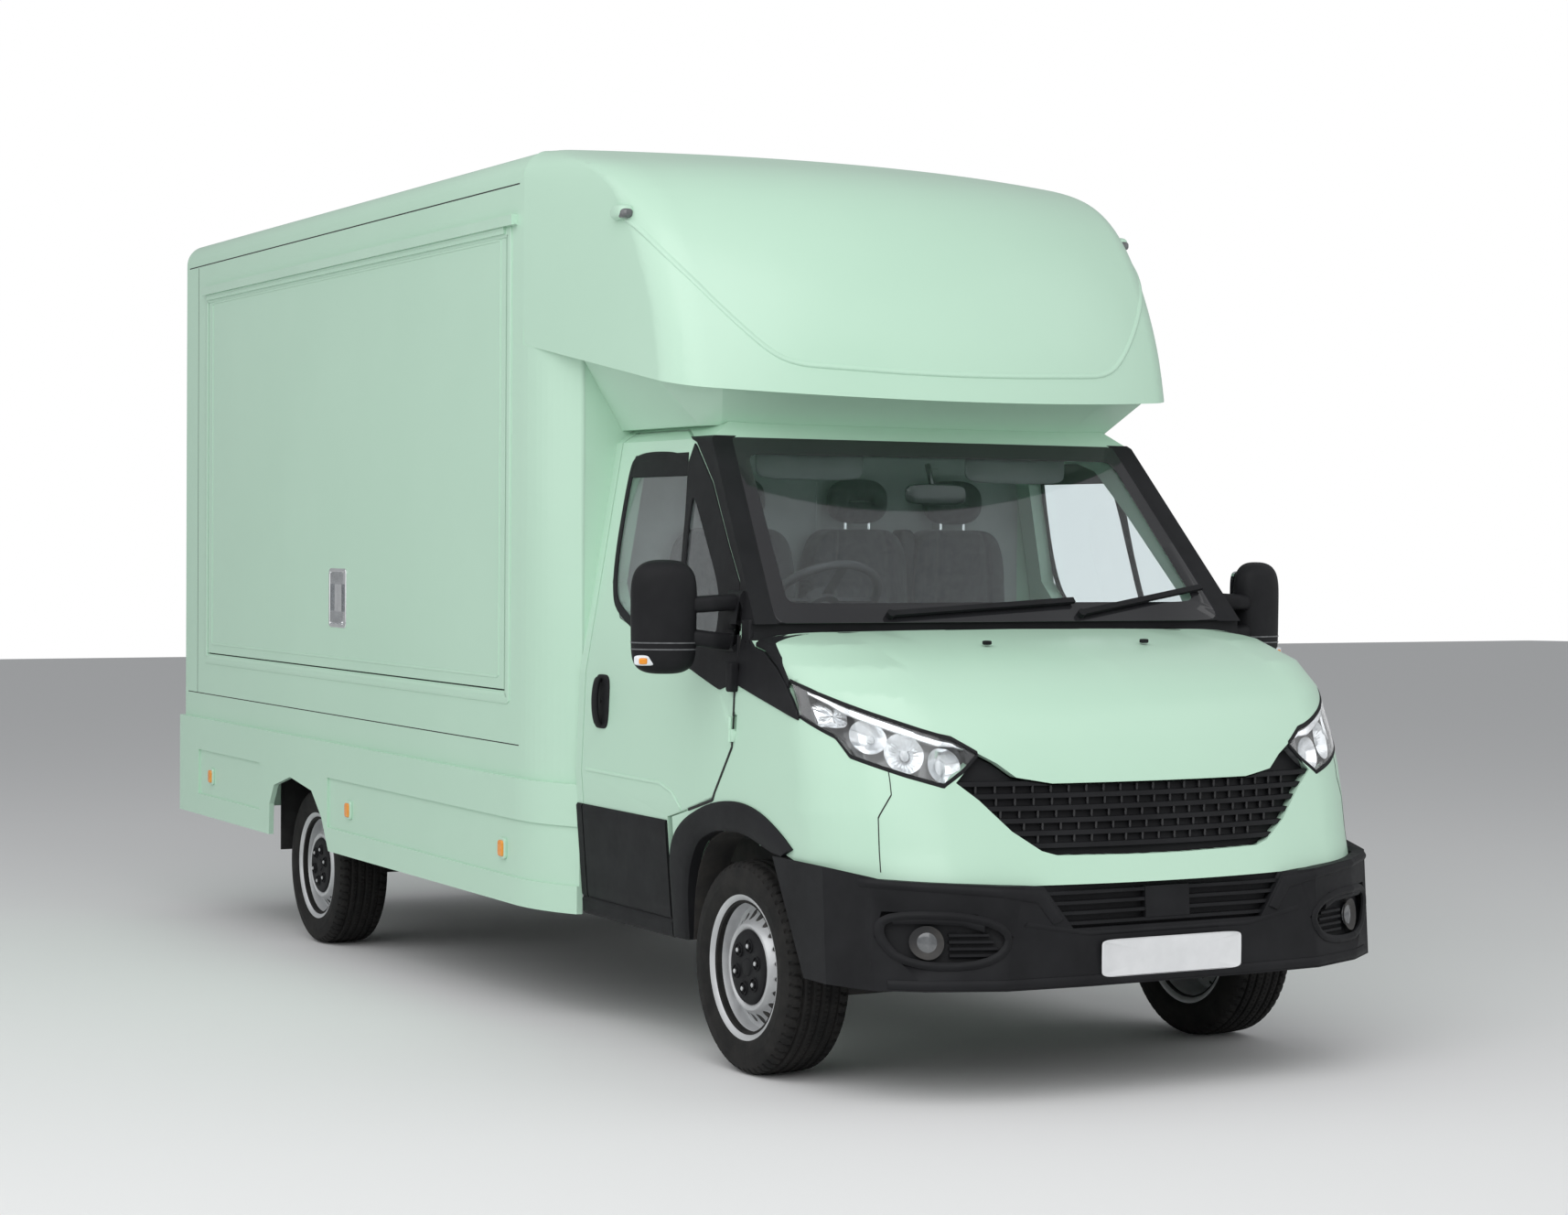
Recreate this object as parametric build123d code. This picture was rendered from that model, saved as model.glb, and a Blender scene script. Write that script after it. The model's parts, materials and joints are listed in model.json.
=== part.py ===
from build123d import *
import math
import os

# Food truck on a light van chassis. Millimetres, +X is the truck's left, +Y its rear, +Z up.
# Lengths along the truck run from a datum near the front axle. The body stands nose down by the stance rake.

# Driving sizes
wheelbase = 4050.0
front_axle_y = -100.0
wheel_radius = 342.0
tyre_width = 228.0
track = 1732.0
rim_radius = 222.0
stance_rake_deg = 1.2
stance_pivot_z = 345.0
stance_drop = 10.0
cab_half_width = 1000.0
nose_front_y = -1062.0
cab_back_y = 1130.0
cab_sill_z = 400.0
cab_roof_z = 2135.0
box_half_width = 1060.0
box_front_y = 1130.0
box_rear_y = 5600.0
box_floor_z = 845.0
box_roof_z = 3130.0
bumper_front_y = -1078.0
bumper_half_width = 1000.0
skirt_thickness = 22.0
lamp_thickness = 26.0

# Walls, gaps and small common sizes
overrun = 60.0
panel_gap = 6.0
pin_clearance = 0.3
panel_thickness = 28.0
door_thickness = 60.0
cab_wall = 45.0
glass_thickness = 8.0
box_wall = 45.0
floor_thickness = 60.0

left = 1
right = -1
sides = ((right, "right"), (left, "left"))

half_track = track / 2
rear_axle_y = front_axle_y + wheelbase
overall_front_y = bumper_front_y
overall_rear_y = box_rear_y + skirt_thickness + lamp_thickness
middle_y = (overall_front_y + overall_rear_y) / 2
nodes = {}


def keep(name, shape):
    # Pieces of the running gear stand level
    nodes[name] = Pos(0, -middle_y, 0) * shape


def keep_on_body(name, shape):
    # Pieces of the body lean with it about a crosswise line near the front axle
    leaning = Pos(0, 0, stance_pivot_z - stance_drop) * Rot(stance_rake_deg, 0, 0)
    keep(name, leaning * Pos(0, 0, -stance_pivot_z) * shape)


def at_share(low, high, share):
    return low + (high - low) * share


def placed(shares, first_low, first_high, second_low, second_high):
    # Points given as shares of a named rectangle
    return [
        (at_share(first_low, first_high, first), at_share(second_low, second_high, second))
        for first, second in shares
    ]


def face_of(points):
    return make_face(Polyline(*points, close=True).edges())


def rounded(face, radius):
    return fillet(face.vertices(), radius)


def block(x_low, x_high, y_low, y_high, z_low, z_high):
    size = Box(x_high - x_low, y_high - y_low, z_high - z_low)
    return Pos((x_low + x_high) / 2, (y_low + y_high) / 2, (z_low + z_high) / 2) * size


def along_x(face, x_low, x_high):
    # A (y, z) outline pushed along X
    plane = Plane(origin=(x_low, 0, 0), x_dir=(0, 1, 0), z_dir=(1, 0, 0))
    return extrude(plane * face, amount=x_high - x_low)


def along_y(face, y_low, y_high):
    # An (x, z) outline pushed along Y
    plane = Plane(origin=(0, y_high, 0), x_dir=(1, 0, 0), z_dir=(0, -1, 0))
    return extrude(plane * face, amount=y_high - y_low)


def along_z(face, z_low, z_high):
    # An (x, y) outline pushed along Z
    plane = Plane(origin=(0, 0, z_low), x_dir=(1, 0, 0), z_dir=(0, 0, 1))
    return extrude(plane * face, amount=z_high - z_low)


def rod_x(radius, x_low, x_high, y, z):
    return Pos((x_low + x_high) / 2, y, z) * Rot(0, 90, 0) * Cylinder(radius, x_high - x_low)


def rod_y(radius, y_low, y_high, x, z):
    return Pos(x, (y_low + y_high) / 2, z) * Rot(90, 0, 0) * Cylinder(radius, y_high - y_low)


def rod_z(radius, z_low, z_high, x, y):
    return Pos(x, y, (z_low + z_high) / 2) * Cylinder(radius, z_high - z_low)


def both_sides(half_points):
    # Closes a half outline, first value from the middle outwards, across the middle plane
    return half_points + [(-first, second) for first, second in reversed(half_points)]


def mirrored(shape):
    return mirror(shape, about=Plane.YZ)


def apart(pieces):
    # Solids of one node that don't touch
    solids = []
    for piece in pieces:
        solids += list(piece.solids())
    return Compound(solids)


# Cab form: the block that the cab's panels are cut from
belt_z = 1250.0
widest_z = 900.0
eave_z = 2060.0
sill_width_share = 0.955
belt_width_share = 0.985
eave_width_share = 0.845
crown_width_share = 0.74
sill_half_width = cab_half_width * sill_width_share
belt_half_width = cab_half_width * belt_width_share
eave_half_width = cab_half_width * eave_width_share
crown_half_width = cab_half_width * crown_width_share
scuttle_front_y = -170.0
scuttle_rise_z = 1430.0
bonnet_rear_y = -155.0
bonnet_rear_z = 1432.0
screen_foot_y = -140.0
screen_foot_z = 1450.0
screen_head_y = 400.0
screen_head_z = 2085.0
nose_low_z = 690.0
# Sections of the nose: shares of its height, of its length back to the bonnet's rear edge and of its plan depths
nose_profile_shares = (
    (0.0, 0.0, 1.0),
    (0.135, 0.035, 1.0),
    (0.283, 0.065, 1.0),
    (0.418, 0.086, 1.0),
    (0.553, 0.121, 1.0),
    (0.66, 0.173, 0.95),
    (0.755, 0.238, 0.85),
    (0.863, 0.383, 0.70),
    (0.95, 0.653, 0.55),
    (1.0, 1.0, 0.40),
)
# Plan of each section: share of its half width, and distance behind its foremost point
nose_front_share = 0.70
nose_front_depth = 100.0
nose_corner_share = 0.923
nose_corner_depth = 258.0
nose_side_depth = 520.0


def cab_section_face(inset):
    half = [
        (sill_half_width, cab_sill_z - overrun),
        (cab_half_width, widest_z),
        (belt_half_width, belt_z),
        (eave_half_width, eave_z),
        (crown_half_width, cab_roof_z),
    ]
    return offset_in(face_of(both_sides(half)), inset)


def cab_side_face(inset):
    points = [
        (scuttle_front_y, cab_sill_z),
        (scuttle_front_y, scuttle_rise_z),
        (screen_foot_y, screen_foot_z),
        (screen_head_y, screen_head_z),
        (screen_head_y + cab_wall, cab_roof_z),
        (cab_back_y, cab_roof_z),
        (cab_back_y, cab_sill_z),
    ]
    return offset_in(face_of(points), inset)


def offset_in(face, inset):
    if inset == 0:
        return face
    return offset(face, amount=-inset, kind=Kind.INTERSECTION)


def flank_core(inset):
    # What lies further than the inset behind the cab's flanks
    return along_y(cab_section_face(inset), scuttle_front_y - overrun, cab_back_y + overrun)


def cab_form(inset):
    side = along_x(cab_side_face(inset), -cab_half_width - overrun, cab_half_width + overrun)
    return flank_core(inset) & side


def half_width_at(z):
    # The cab's half width at a height below its eaves
    heights = (cab_sill_z - overrun, widest_z, belt_z, eave_z)
    widths = (sill_half_width, cab_half_width, belt_half_width, eave_half_width)
    for index in range(len(heights) - 1):
        low_z, high_z = heights[index], heights[index + 1]
        if z <= high_z:
            share = (z - low_z) / (high_z - low_z)
            return at_share(widths[index], widths[index + 1], share)
    return widths[-1]


def nose_section(z, front_y, half_width, rear_y, depth_share):
    front_x = half_width * nose_front_share
    corner_x = half_width * nose_corner_share
    shoulder_y = front_y + nose_front_depth * depth_share
    corner_y = front_y + nose_corner_depth * depth_share
    side_y = front_y + nose_side_depth * depth_share
    edges = [
        ThreePointArc((-front_x, shoulder_y), (0, front_y), (front_x, shoulder_y)),
        ThreePointArc((front_x, shoulder_y), (corner_x, corner_y), (half_width, side_y)),
        Line((half_width, side_y), (half_width, rear_y)),
        Line((half_width, rear_y), (-half_width, rear_y)),
        Line((-half_width, rear_y), (-half_width, side_y)),
        ThreePointArc((-half_width, side_y), (-corner_x, corner_y), (-front_x, shoulder_y)),
    ]
    return Plane(origin=(0, 0, z)) * make_face(edges)


def nose_form(inset):
    # Block that the bonnet, wings, fascia, grille and lamps are cut from
    faces = []
    rear_y = cab_back_y + (overrun if inset else 0)
    for up_share, back_share, depth_share in nose_profile_shares:
        z = at_share(nose_low_z, bonnet_rear_z, up_share)
        front_y = at_share(nose_front_y, bonnet_rear_y, back_share)
        foot = overrun if inset and up_share == 0 else 0
        section_z = z - inset * up_share - foot
        faces.append(nose_section(section_z, front_y + inset, half_width_at(z) - inset, rear_y, depth_share))
    return loft(faces, ruled=True)


cab_outer = cab_form(0)
nose_outer = nose_form(0)

# Doors: hinge line, then outlines as shares of the length from the front edge and of the height from the foot
door_front_y = -62.0
door_rear_y = 1075.0
door_foot_z = 450.0
door_head_z = 2092.0
door_axis_offset = 3.0
door_axis_x = cab_half_width + door_axis_offset
door_axis_y = door_front_y - panel_gap / 2
window_reach_share = 0.6
door_outline_shares = (
    (0.41, 0.0),
    (1.0, 0.0),
    (1.0, 1.0),
    (0.63, 1.0),
    (0.49, 0.975),
    (0.335, 0.89),
    (0.165, 0.76),
    (0.065, 0.69),
    (0.0, 0.55),
    (0.0, 0.37),
    (0.11, 0.262),
    (0.41, 0.21),
)
window_shares = (
    (0.10, 0.485),
    (0.82, 0.605),
    (0.915, 0.68),
    (0.915, 0.92),
    (0.88, 0.95),
    (0.62, 0.95),
    (0.52, 0.93),
    (0.37, 0.83),
    (0.15, 0.665),
    (0.10, 0.60),
)


def door_points(shares):
    return placed(shares, door_front_y, door_rear_y, door_foot_z, door_head_z)


def door_prism(side, grow, shares):
    face = offset_in(face_of(door_points(shares)), -grow)
    x_low = min(side * cab_half_width * window_reach_share, side * (cab_half_width + overrun))
    x_high = max(side * cab_half_width * window_reach_share, side * (cab_half_width + overrun))
    return along_x(face, x_low, x_high)


def behind_doors(depth):
    # What lies further than a depth behind the flanks, up through the roof
    reach = eave_half_width - depth
    above = block(-reach, reach, scuttle_front_y, cab_back_y, belt_z, cab_roof_z + overrun)
    return flank_core(depth) + above


def door_swing(side, grow):
    # Cone about the hinge axis through the door's rear outer edge
    length = door_rear_y - door_axis_y
    low_radius = math.hypot(length, door_axis_x - belt_half_width) + grow
    eave_radius = math.hypot(length, door_axis_x - eave_half_width) + grow
    height = cab_roof_z - belt_z
    high_radius = at_share(low_radius, eave_radius, height / (eave_z - belt_z))
    low = rod_z(low_radius, cab_sill_z, belt_z, side * door_axis_x, door_axis_y)
    high = Pos(side * door_axis_x, door_axis_y, (belt_z + cab_roof_z) / 2) * Cone(low_radius, high_radius, height)
    return low + high


def door_room(side):
    # The door's opening with the way of its rear edge
    swept = door_swing(side, panel_gap) & block(
        -cab_half_width - overrun, cab_half_width + overrun,
        door_rear_y - overrun, cab_back_y,
        door_foot_z - panel_gap, door_head_z + panel_gap,
    )
    return door_prism(side, panel_gap, door_outline_shares) + swept - door_room_core


door_core = behind_doors(door_thickness)
door_room_core = behind_doors(door_thickness + panel_gap)
cab_inner = cab_form(cab_wall)
nose_inner = nose_form(panel_thickness)

# Windscreen opening, seen from the front
screen_head_share = 0.79
screen_foot_share = 0.86
screen_head_half_width = cab_half_width * screen_head_share
screen_foot_half_width = cab_half_width * screen_foot_share
screen_opening_low_z = 1462.0
screen_opening_high_z = 2050.0
screen_corner_radius = 40.0
screen_reach_y = 700.0


def screen_prism():
    half = [
        (screen_foot_half_width, screen_opening_low_z),
        (screen_head_half_width, screen_opening_high_z),
    ]
    face = rounded(face_of(both_sides(half)), screen_corner_radius)
    return along_y(face, nose_front_y, screen_reach_y)


# Cab shell: pillars, roof, scuttle, floor, bulkhead and steps
cab_floor_z = 740.0
cab_floor_thickness = 40.0
scuttle_y = -120.0
scuttle_thickness = 40.0
scuttle_inset = 100.0
scuttle_half_width = cab_half_width - scuttle_inset
step_inset = 200.0
step_inner_x = cab_half_width - step_inset
step_front_y = 470.0
step_thickness = 40.0
arch_rear_y = 370.0
wing_rise = 950.0
shoulder_rise = 620.0
cowl_front_y = -165.0
cowl_top_z = 1395.0
bonnet_axis_y = -145.0
bonnet_axis_z = 1400.0
bonnet_barrel_radius = 8.0
bonnet_pin_radius = 4.0
bonnet_barrel_x = 600.0
bonnet_barrel_length = 40.0


def cab_shell():
    shell = cab_outer - cab_inner
    shell = shell & block(
        -cab_half_width - overrun, cab_half_width + overrun,
        scuttle_y, cab_back_y,
        cab_floor_z, cab_roof_z + overrun,
    )
    wing_top_z = door_foot_z + wing_rise
    shell = shell - block(
        -cab_half_width - overrun, cab_half_width + overrun,
        scuttle_y - overrun, door_front_y - panel_gap,
        cab_floor_z - overrun, wing_top_z,
    )
    shell = shell - block(
        -cab_half_width - overrun, cab_half_width + overrun,
        scuttle_y - overrun, step_front_y,
        cab_floor_z - overrun, door_foot_z + shoulder_rise,
    )
    floor = block(
        -step_inner_x, step_inner_x,
        scuttle_y, cab_back_y,
        cab_floor_z, cab_floor_z + cab_floor_thickness,
    )
    scuttle = block(
        -scuttle_half_width, scuttle_half_width,
        scuttle_y, scuttle_y + scuttle_thickness,
        cab_floor_z, screen_foot_z - scuttle_thickness,
    )
    bulkhead = block(
        -cab_half_width, cab_half_width,
        cab_back_y - cab_floor_thickness, cab_back_y,
        cab_floor_z, cab_roof_z,
    ) & cab_outer
    shell = shell + floor + scuttle + bulkhead + cowl()
    for side, name in sides:
        riser = block(
            step_inner_x, step_inner_x + step_thickness,
            step_front_y, cab_back_y,
            cab_sill_z, cab_floor_z + cab_floor_thickness,
        )
        tread = block(
            step_inner_x, sill_half_width - panel_gap,
            step_front_y, cab_back_y,
            cab_sill_z, cab_sill_z + step_thickness,
        )
        post = block(
            step_inner_x, cab_half_width,
            door_rear_y + panel_gap, cab_back_y,
            cab_sill_z, cab_floor_z + cab_floor_thickness,
        ) & cab_outer
        step = riser + tread + post
        if side == right:
            step = mirrored(step)
        shell = shell + step
        shell = shell - door_room(side)
    return shell - screen_prism()


def bonnet_barrels(side, moving):
    # Barrels of the bonnet's hinge: the moving one carries a pin that enters the fixed one
    seam_x = bonnet_barrel_x
    if moving:
        barrel = rod_x(
            bonnet_barrel_radius, seam_x - bonnet_barrel_length, seam_x - pin_clearance,
            bonnet_axis_y, bonnet_axis_z,
        )
        barrel = barrel + block(
            seam_x - bonnet_barrel_length, seam_x - pin_clearance,
            cowl_front_y - bonnet_barrel_length, bonnet_axis_y,
            bonnet_axis_z, bonnet_axis_z + bonnet_barrel_radius,
        )
        pin = rod_x(
            bonnet_pin_radius, seam_x - bonnet_barrel_length, seam_x + bonnet_barrel_length / 2,
            bonnet_axis_y, bonnet_axis_z,
        )
        made = barrel + pin
    else:
        barrel = rod_x(
            bonnet_barrel_radius, seam_x, seam_x + bonnet_barrel_length,
            bonnet_axis_y, bonnet_axis_z,
        )
        hole = rod_x(
            bonnet_pin_radius + pin_clearance, seam_x - overrun, seam_x + bonnet_barrel_length + overrun,
            bonnet_axis_y, bonnet_axis_z,
        )
        made = barrel - hole
    return made if side == left else mirrored(made)


def cowl():
    plate = block(
        -scuttle_half_width, scuttle_half_width,
        cowl_front_y, scuttle_y,
        cowl_top_z - scuttle_thickness, cowl_top_z,
    )
    for side, name in sides:
        hole = rod_x(
            bonnet_pin_radius + pin_clearance,
            bonnet_barrel_x - overrun, bonnet_barrel_x + overrun,
            bonnet_axis_y, bonnet_axis_z,
        )
        room = rod_x(
            bonnet_barrel_radius + pin_clearance * 2,
            bonnet_barrel_x - overrun, bonnet_barrel_x,
            bonnet_axis_y, bonnet_axis_z,
        )
        cut = hole + room
        plate = plate - (cut if side == left else mirrored(cut))
        plate = plate + bonnet_barrels(side, False)
    return plate


def windscreen():
    return (cab_outer - cab_form(glass_thickness)) & screen_prism()


# Cab doors with their windows
hinge_radius = 7.0
hinge_pin_radius = 3.5
hinge_leaf = 45.0
hinge_leaf_thickness = 4.0
door_leaf_reach = 15.0
hinge_knuckle_length = 40.0
door_hinge_shares = (0.381, 0.481)
door_hinge_heights = [at_share(door_foot_z, door_head_z, share) for share in door_hinge_shares]


def door_barrel(height, moving):
    # One barrel of a door hinge on the left side, its leaf reaching into the panel
    low_z = height + (hinge_knuckle_length + pin_clearance if moving else 0.0)
    high_z = low_z + hinge_knuckle_length
    barrel = rod_z(hinge_radius, low_z, high_z, door_axis_x, door_axis_y)
    reach = door_leaf_reach if moving else -door_leaf_reach
    leaf = block(
        door_axis_x - hinge_leaf, door_axis_x,
        min(door_axis_y, door_axis_y + reach), max(door_axis_y, door_axis_y + reach),
        low_z, high_z,
    )
    return barrel + leaf


def door_hinges(side, moving):
    made = []
    for height in door_hinge_heights:
        part = door_barrel(height, moving)
        pin_low_z = height + hinge_knuckle_length / 2
        pin_high_z = height + hinge_knuckle_length * 2
        if moving:
            part = part + rod_z(hinge_pin_radius, pin_low_z, pin_high_z, door_axis_x, door_axis_y)
        else:
            part = part - rod_z(
                hinge_pin_radius + pin_clearance, height - overrun, pin_high_z,
                door_axis_x, door_axis_y,
            )
        made.append(part if side == left else mirrored(part))
    return made


def hinge_room(side, moving):
    # Room in one panel for the barrels and leaves of the other
    made = []
    for height in door_hinge_heights:
        low_z = height + (hinge_knuckle_length if moving else 0.0)
        room = block(
            door_axis_x - hinge_leaf - panel_gap, door_axis_x + overrun,
            door_axis_y - door_leaf_reach - panel_gap, door_axis_y + door_leaf_reach + panel_gap,
            low_z - panel_gap, low_z + hinge_knuckle_length + panel_gap,
        )
        made.append(room if side == left else mirrored(room))
    return made


def door(side):
    body = (cab_outer - door_core) & door_prism(side, 0, door_outline_shares) & door_swing(side, 0)
    body = body - door_prism(side, 0, window_shares)
    for room in hinge_room(side, False):
        body = body - room
    for part in door_hinges(side, True):
        body = body + part
    return body


def door_glass(side):
    sheet = cab_outer - flank_core(glass_thickness)
    return sheet & door_prism(side, 0, window_shares)


# Bonnet, wings, fascia, grille and lamps are cut from the nose by front-view outlines
# Points are shares of the half width and of the height from the nose's lower edge to the bonnet's rear edge
lamp_top_shares = (
    (0.584, 0.526),
    (0.658, 0.593),
    (0.741, 0.623),
    (0.849, 0.682),
    (0.937, 0.743),
    (0.978, 0.811),
)
lamp_low_shares = (
    (1.06, 0.84),
    (1.06, 0.652),
    (0.984, 0.652),
    (0.944, 0.585),
    (0.924, 0.507),
    (0.807, 0.437),
    (0.703, 0.394),
)
bonnet_low_shares = ((0.365, 0.404), (0.478, 0.43), (0.532, 0.487))
bonnet_side_shares = ((1.06, 0.891), (1.06, 1.1))
# The wing's top edge seen from the side, shares of the nose's length and height: below it the flank is wing
wing_edge_inner_share = 0.85
wing_edge_shares = ((0.708, 0.0), (0.708, 0.771), (0.804, 0.852), (0.918, 0.919), (1.06, 0.95), (1.06, 0.0))
grille_side_shares = (
    (0.667, 0.412),
    (0.602, 0.341),
    (0.51, 0.215),
    (0.423, 0.135),
    (0.374, 0.116),
    (0.079, 0.11),
)
lamp_depth = 110.0
# Slanted rear end of the lamps, seen from the side
lamp_end_high_y = -375.0
lamp_end_high_z = 1310.0
lamp_end_low_y = -500.0
lamp_end_low_z = 1150.0
wing_front_y = -700.0
wing_foot_z = 700.0
door_wing_top_z = 1400.0
grille_reach = 260.0
grille_setback = 26.0
grille_thickness = 16.0
slat_setback = 6.0
slat_depth = 28.0
slat_height = 14.0
slat_height_shares = (0.155, 0.205, 0.255, 0.305, 0.355, 0.405)
fascia_top_z = 1265.0
fascia_foot_depth = 70.0
fascia_foot_height = 12.0
intake_width_share = 0.48
intake_half_width = bumper_half_width * intake_width_share


def front_points(shares):
    return placed(shares, 0.0, cab_half_width, nose_low_z, bonnet_rear_z)


def lamp_prism():
    outline = face_of(front_points(lamp_top_shares + lamp_low_shares))
    prism = along_y(outline, nose_front_y - overrun, lamp_end_high_y + overrun)
    slant = (lamp_end_high_y - lamp_end_low_y) / (lamp_end_high_z - lamp_end_low_z)
    high_y = lamp_end_high_y + (bonnet_rear_z - lamp_end_high_z) * slant
    low_y = lamp_end_high_y - (lamp_end_high_z - nose_low_z) * slant
    front = face_of([
        (nose_front_y - overrun, nose_low_z),
        (low_y, nose_low_z),
        (high_y, bonnet_rear_z),
        (nose_front_y - overrun, bonnet_rear_z),
    ])
    return prism & along_x(front, 0, cab_half_width + overrun * 2)


def bonnet_face(grow):
    half = front_points(bonnet_low_shares + lamp_top_shares + bonnet_side_shares)
    return offset_in(face_of(both_sides(half)), -grow)


def grille_prism():
    half = front_points(bonnet_low_shares + lamp_top_shares[:1] + grille_side_shares)
    face = face_of(both_sides(half))
    return along_y(face, nose_front_y - overrun, nose_front_y + grille_reach)


def wing_flank(inset):
    # Flank under the bonnet's rear corners
    points = placed(wing_edge_shares, nose_front_y, bonnet_rear_y, nose_low_z, bonnet_rear_z)
    inner_x = cab_half_width * wing_edge_inner_share + inset
    one = along_x(offset_in(face_of(points), inset), inner_x, cab_half_width + overrun)
    return one + mirrored(one)


def bonnet_prism(grow):
    prism = along_y(bonnet_face(grow), nose_front_y - overrun, cowl_front_y + grow)
    return prism - wing_flank(grow)


def bonnet():
    lid = (nose_outer - nose_inner) & bonnet_prism(0)
    for side, name in sides:
        lid = lid + bonnet_barrels(side, True)
    return lid


# Wheel arch opening, shares of the wheel radius about the front axle
arch_shares = (
    (-1.80, -0.20),
    (1.05, -0.20),
    (1.16, 0.52),
    (1.07, 0.95),
    (0.72, 1.26),
    (0.10, 1.37),
    (-0.38, 1.31),
    (-1.30, 1.10),
)


def arch_prism():
    points = [
        (front_axle_y + y * wheel_radius, wheel_radius + z * wheel_radius)
        for y, z in arch_shares
    ]
    return along_x(face_of(points), -cab_half_width - overrun, cab_half_width + overrun)


def wings():
    total = nose_outer - nose_inner
    total = total & block(
        -cab_half_width - overrun, cab_half_width + overrun,
        wing_front_y, door_rear_y,
        wing_foot_z, screen_foot_z,
    )
    total = total - bonnet_prism(panel_gap)
    total = total - lamp_prism() - mirrored(lamp_prism())
    total = total - arch_prism()
    total = total - block(
        -cab_half_width - overrun, cab_half_width + overrun,
        cowl_front_y, door_rear_y + overrun,
        door_wing_top_z, screen_foot_z + overrun,
    )
    for side, name in sides:
        total = total - door_room(side)
    rear_cut = block(
        -cab_half_width - overrun, cab_half_width + overrun,
        arch_rear_y, door_rear_y + overrun,
        cab_sill_z, screen_foot_z,
    )
    total = total - rear_cut - block(
        -scuttle_half_width, scuttle_half_width,
        cowl_front_y - panel_gap, door_rear_y,
        cowl_top_z - scuttle_thickness, screen_foot_z,
    )
    total = total - block(
        -cab_half_width - overrun, cab_half_width + overrun,
        door_front_y - panel_gap, door_rear_y,
        door_foot_z + shoulder_rise, screen_foot_z,
    )
    for side, name in sides:
        for room in hinge_room(side, True):
            total = total - room
        for part in door_hinges(side, False):
            total = total + part
    return total


def fascia():
    total = nose_outer - nose_inner
    total = total & block(
        -cab_half_width - overrun, cab_half_width + overrun,
        nose_front_y - overrun, wing_front_y,
        nose_low_z, fascia_top_z,
    )
    total = total - bonnet_prism(panel_gap)
    total = total - lamp_prism() - mirrored(lamp_prism())
    foot = (nose_outer - nose_form(fascia_foot_depth)) & block(
        -intake_half_width, intake_half_width,
        nose_front_y, wing_front_y,
        nose_low_z, nose_low_z + fascia_foot_height,
    )
    return total - grille_prism() + foot


def lamps():
    one = (nose_outer - nose_form(lamp_depth)) & lamp_prism()
    one = one - bonnet_prism(panel_gap)
    return one, mirrored(one)


def grille():
    panel = (nose_form(grille_setback) - nose_form(grille_setback + grille_thickness)) & grille_prism()
    bars = (nose_form(slat_setback) - nose_form(slat_setback + slat_depth)) & grille_prism()
    for share in slat_height_shares:
        middle_z = at_share(nose_low_z, bonnet_rear_z, share)
        panel = panel + (bars & block(
            -cab_half_width, cab_half_width,
            nose_front_y - overrun, wing_front_y,
            middle_z - slat_height / 2, middle_z + slat_height / 2,
        ))
    return panel - bonnet_prism(panel_gap)


# Front bumper: a bar that leans back towards its top, with a recess for each fog lamp
bumper_low_z = 385.0
bumper_side_top_z = 765.0
bumper_wall = 40.0
bumper_lean = 36.0
bumper_rear_low_y = -560.0
bumper_rear_top_y = -335.0
bumper_plan_shares = ((0.31, 0.0), (0.584, 0.05), (0.80, 0.28), (0.94, 0.55), (1.0, 1.0))
# Front-view outlines, shares of the half width and of the bumper's height
bumper_top_shares = ((0.0, 0.42), (0.351, 0.46), (0.447, 0.80), (0.51, 0.81), (0.90, 0.86), (1.10, 1.0))
fog_shares = ((0.555, 0.42), (0.635, 0.20), (0.86, 0.20), (0.93, 0.42), (0.91, 0.62), (0.66, 0.60))
fog_depth = 24.0


def bumper_points(shares):
    return placed(shares, 0.0, bumper_half_width, bumper_low_z, bumper_side_top_z)


def bumper_form(inset):
    # Ring-shaped outline at the foot, and the same one set back at the top
    half = placed(bumper_plan_shares, 0.0, bumper_half_width, bumper_front_y, wing_front_y)
    half.append((bumper_half_width, overrun))
    plan = offset_in(face_of(both_sides(half)), inset)
    foot = overrun if inset else 0
    low = Plane(origin=(0, 0, bumper_low_z - foot)) * plan
    high = Plane(origin=(0, bumper_lean, bumper_side_top_z + overrun + foot)) * plan
    return loft([low, high], ruled=True)


def front_bumper():
    high_z = bumper_side_top_z + overrun
    ring = bumper_form(0) - bumper_form(bumper_wall)
    rear = [
        (bumper_rear_low_y, bumper_low_z - overrun),
        (bumper_rear_low_y, bumper_low_z),
        (bumper_rear_top_y, bumper_side_top_z),
        (bumper_rear_top_y, high_z + overrun),
        (bumper_front_y - overrun, high_z + overrun),
        (bumper_front_y - overrun, bumper_low_z - overrun),
    ]
    ring = ring & along_x(face_of(rear), -cab_half_width - overrun, cab_half_width + overrun)
    top = bumper_points(bumper_top_shares)[1:]
    low_corner = (top[-1][0], bumper_low_z - overrun)
    front_view = face_of(both_sides(top + [low_corner]))
    ring = ring & along_y(front_view, bumper_front_y - overrun, overrun)
    pocket = along_y(face_of(bumper_points(fog_shares)), bumper_front_y - overrun, wing_front_y)
    pocket = pocket - bumper_form(fog_depth)
    ring = ring - pocket - mirrored(pocket)
    return ring - nose_outer


# Lower intake: a slatted panel behind the bumper's dip, with a flat cover at its middle
intake_low_z = 520.0
intake_high_z = nose_low_z
intake_setback = 30.0
intake_thickness = 14.0
intake_slat_height = 10.0
intake_slat_depth = 22.0
intake_slat_shares = (0.32, 0.50, 0.68, 0.86)
cover_half_width = 82.0
cover_low_z = 580.0
cover_high_z = 674.0
cover_setback = 6.0


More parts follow.
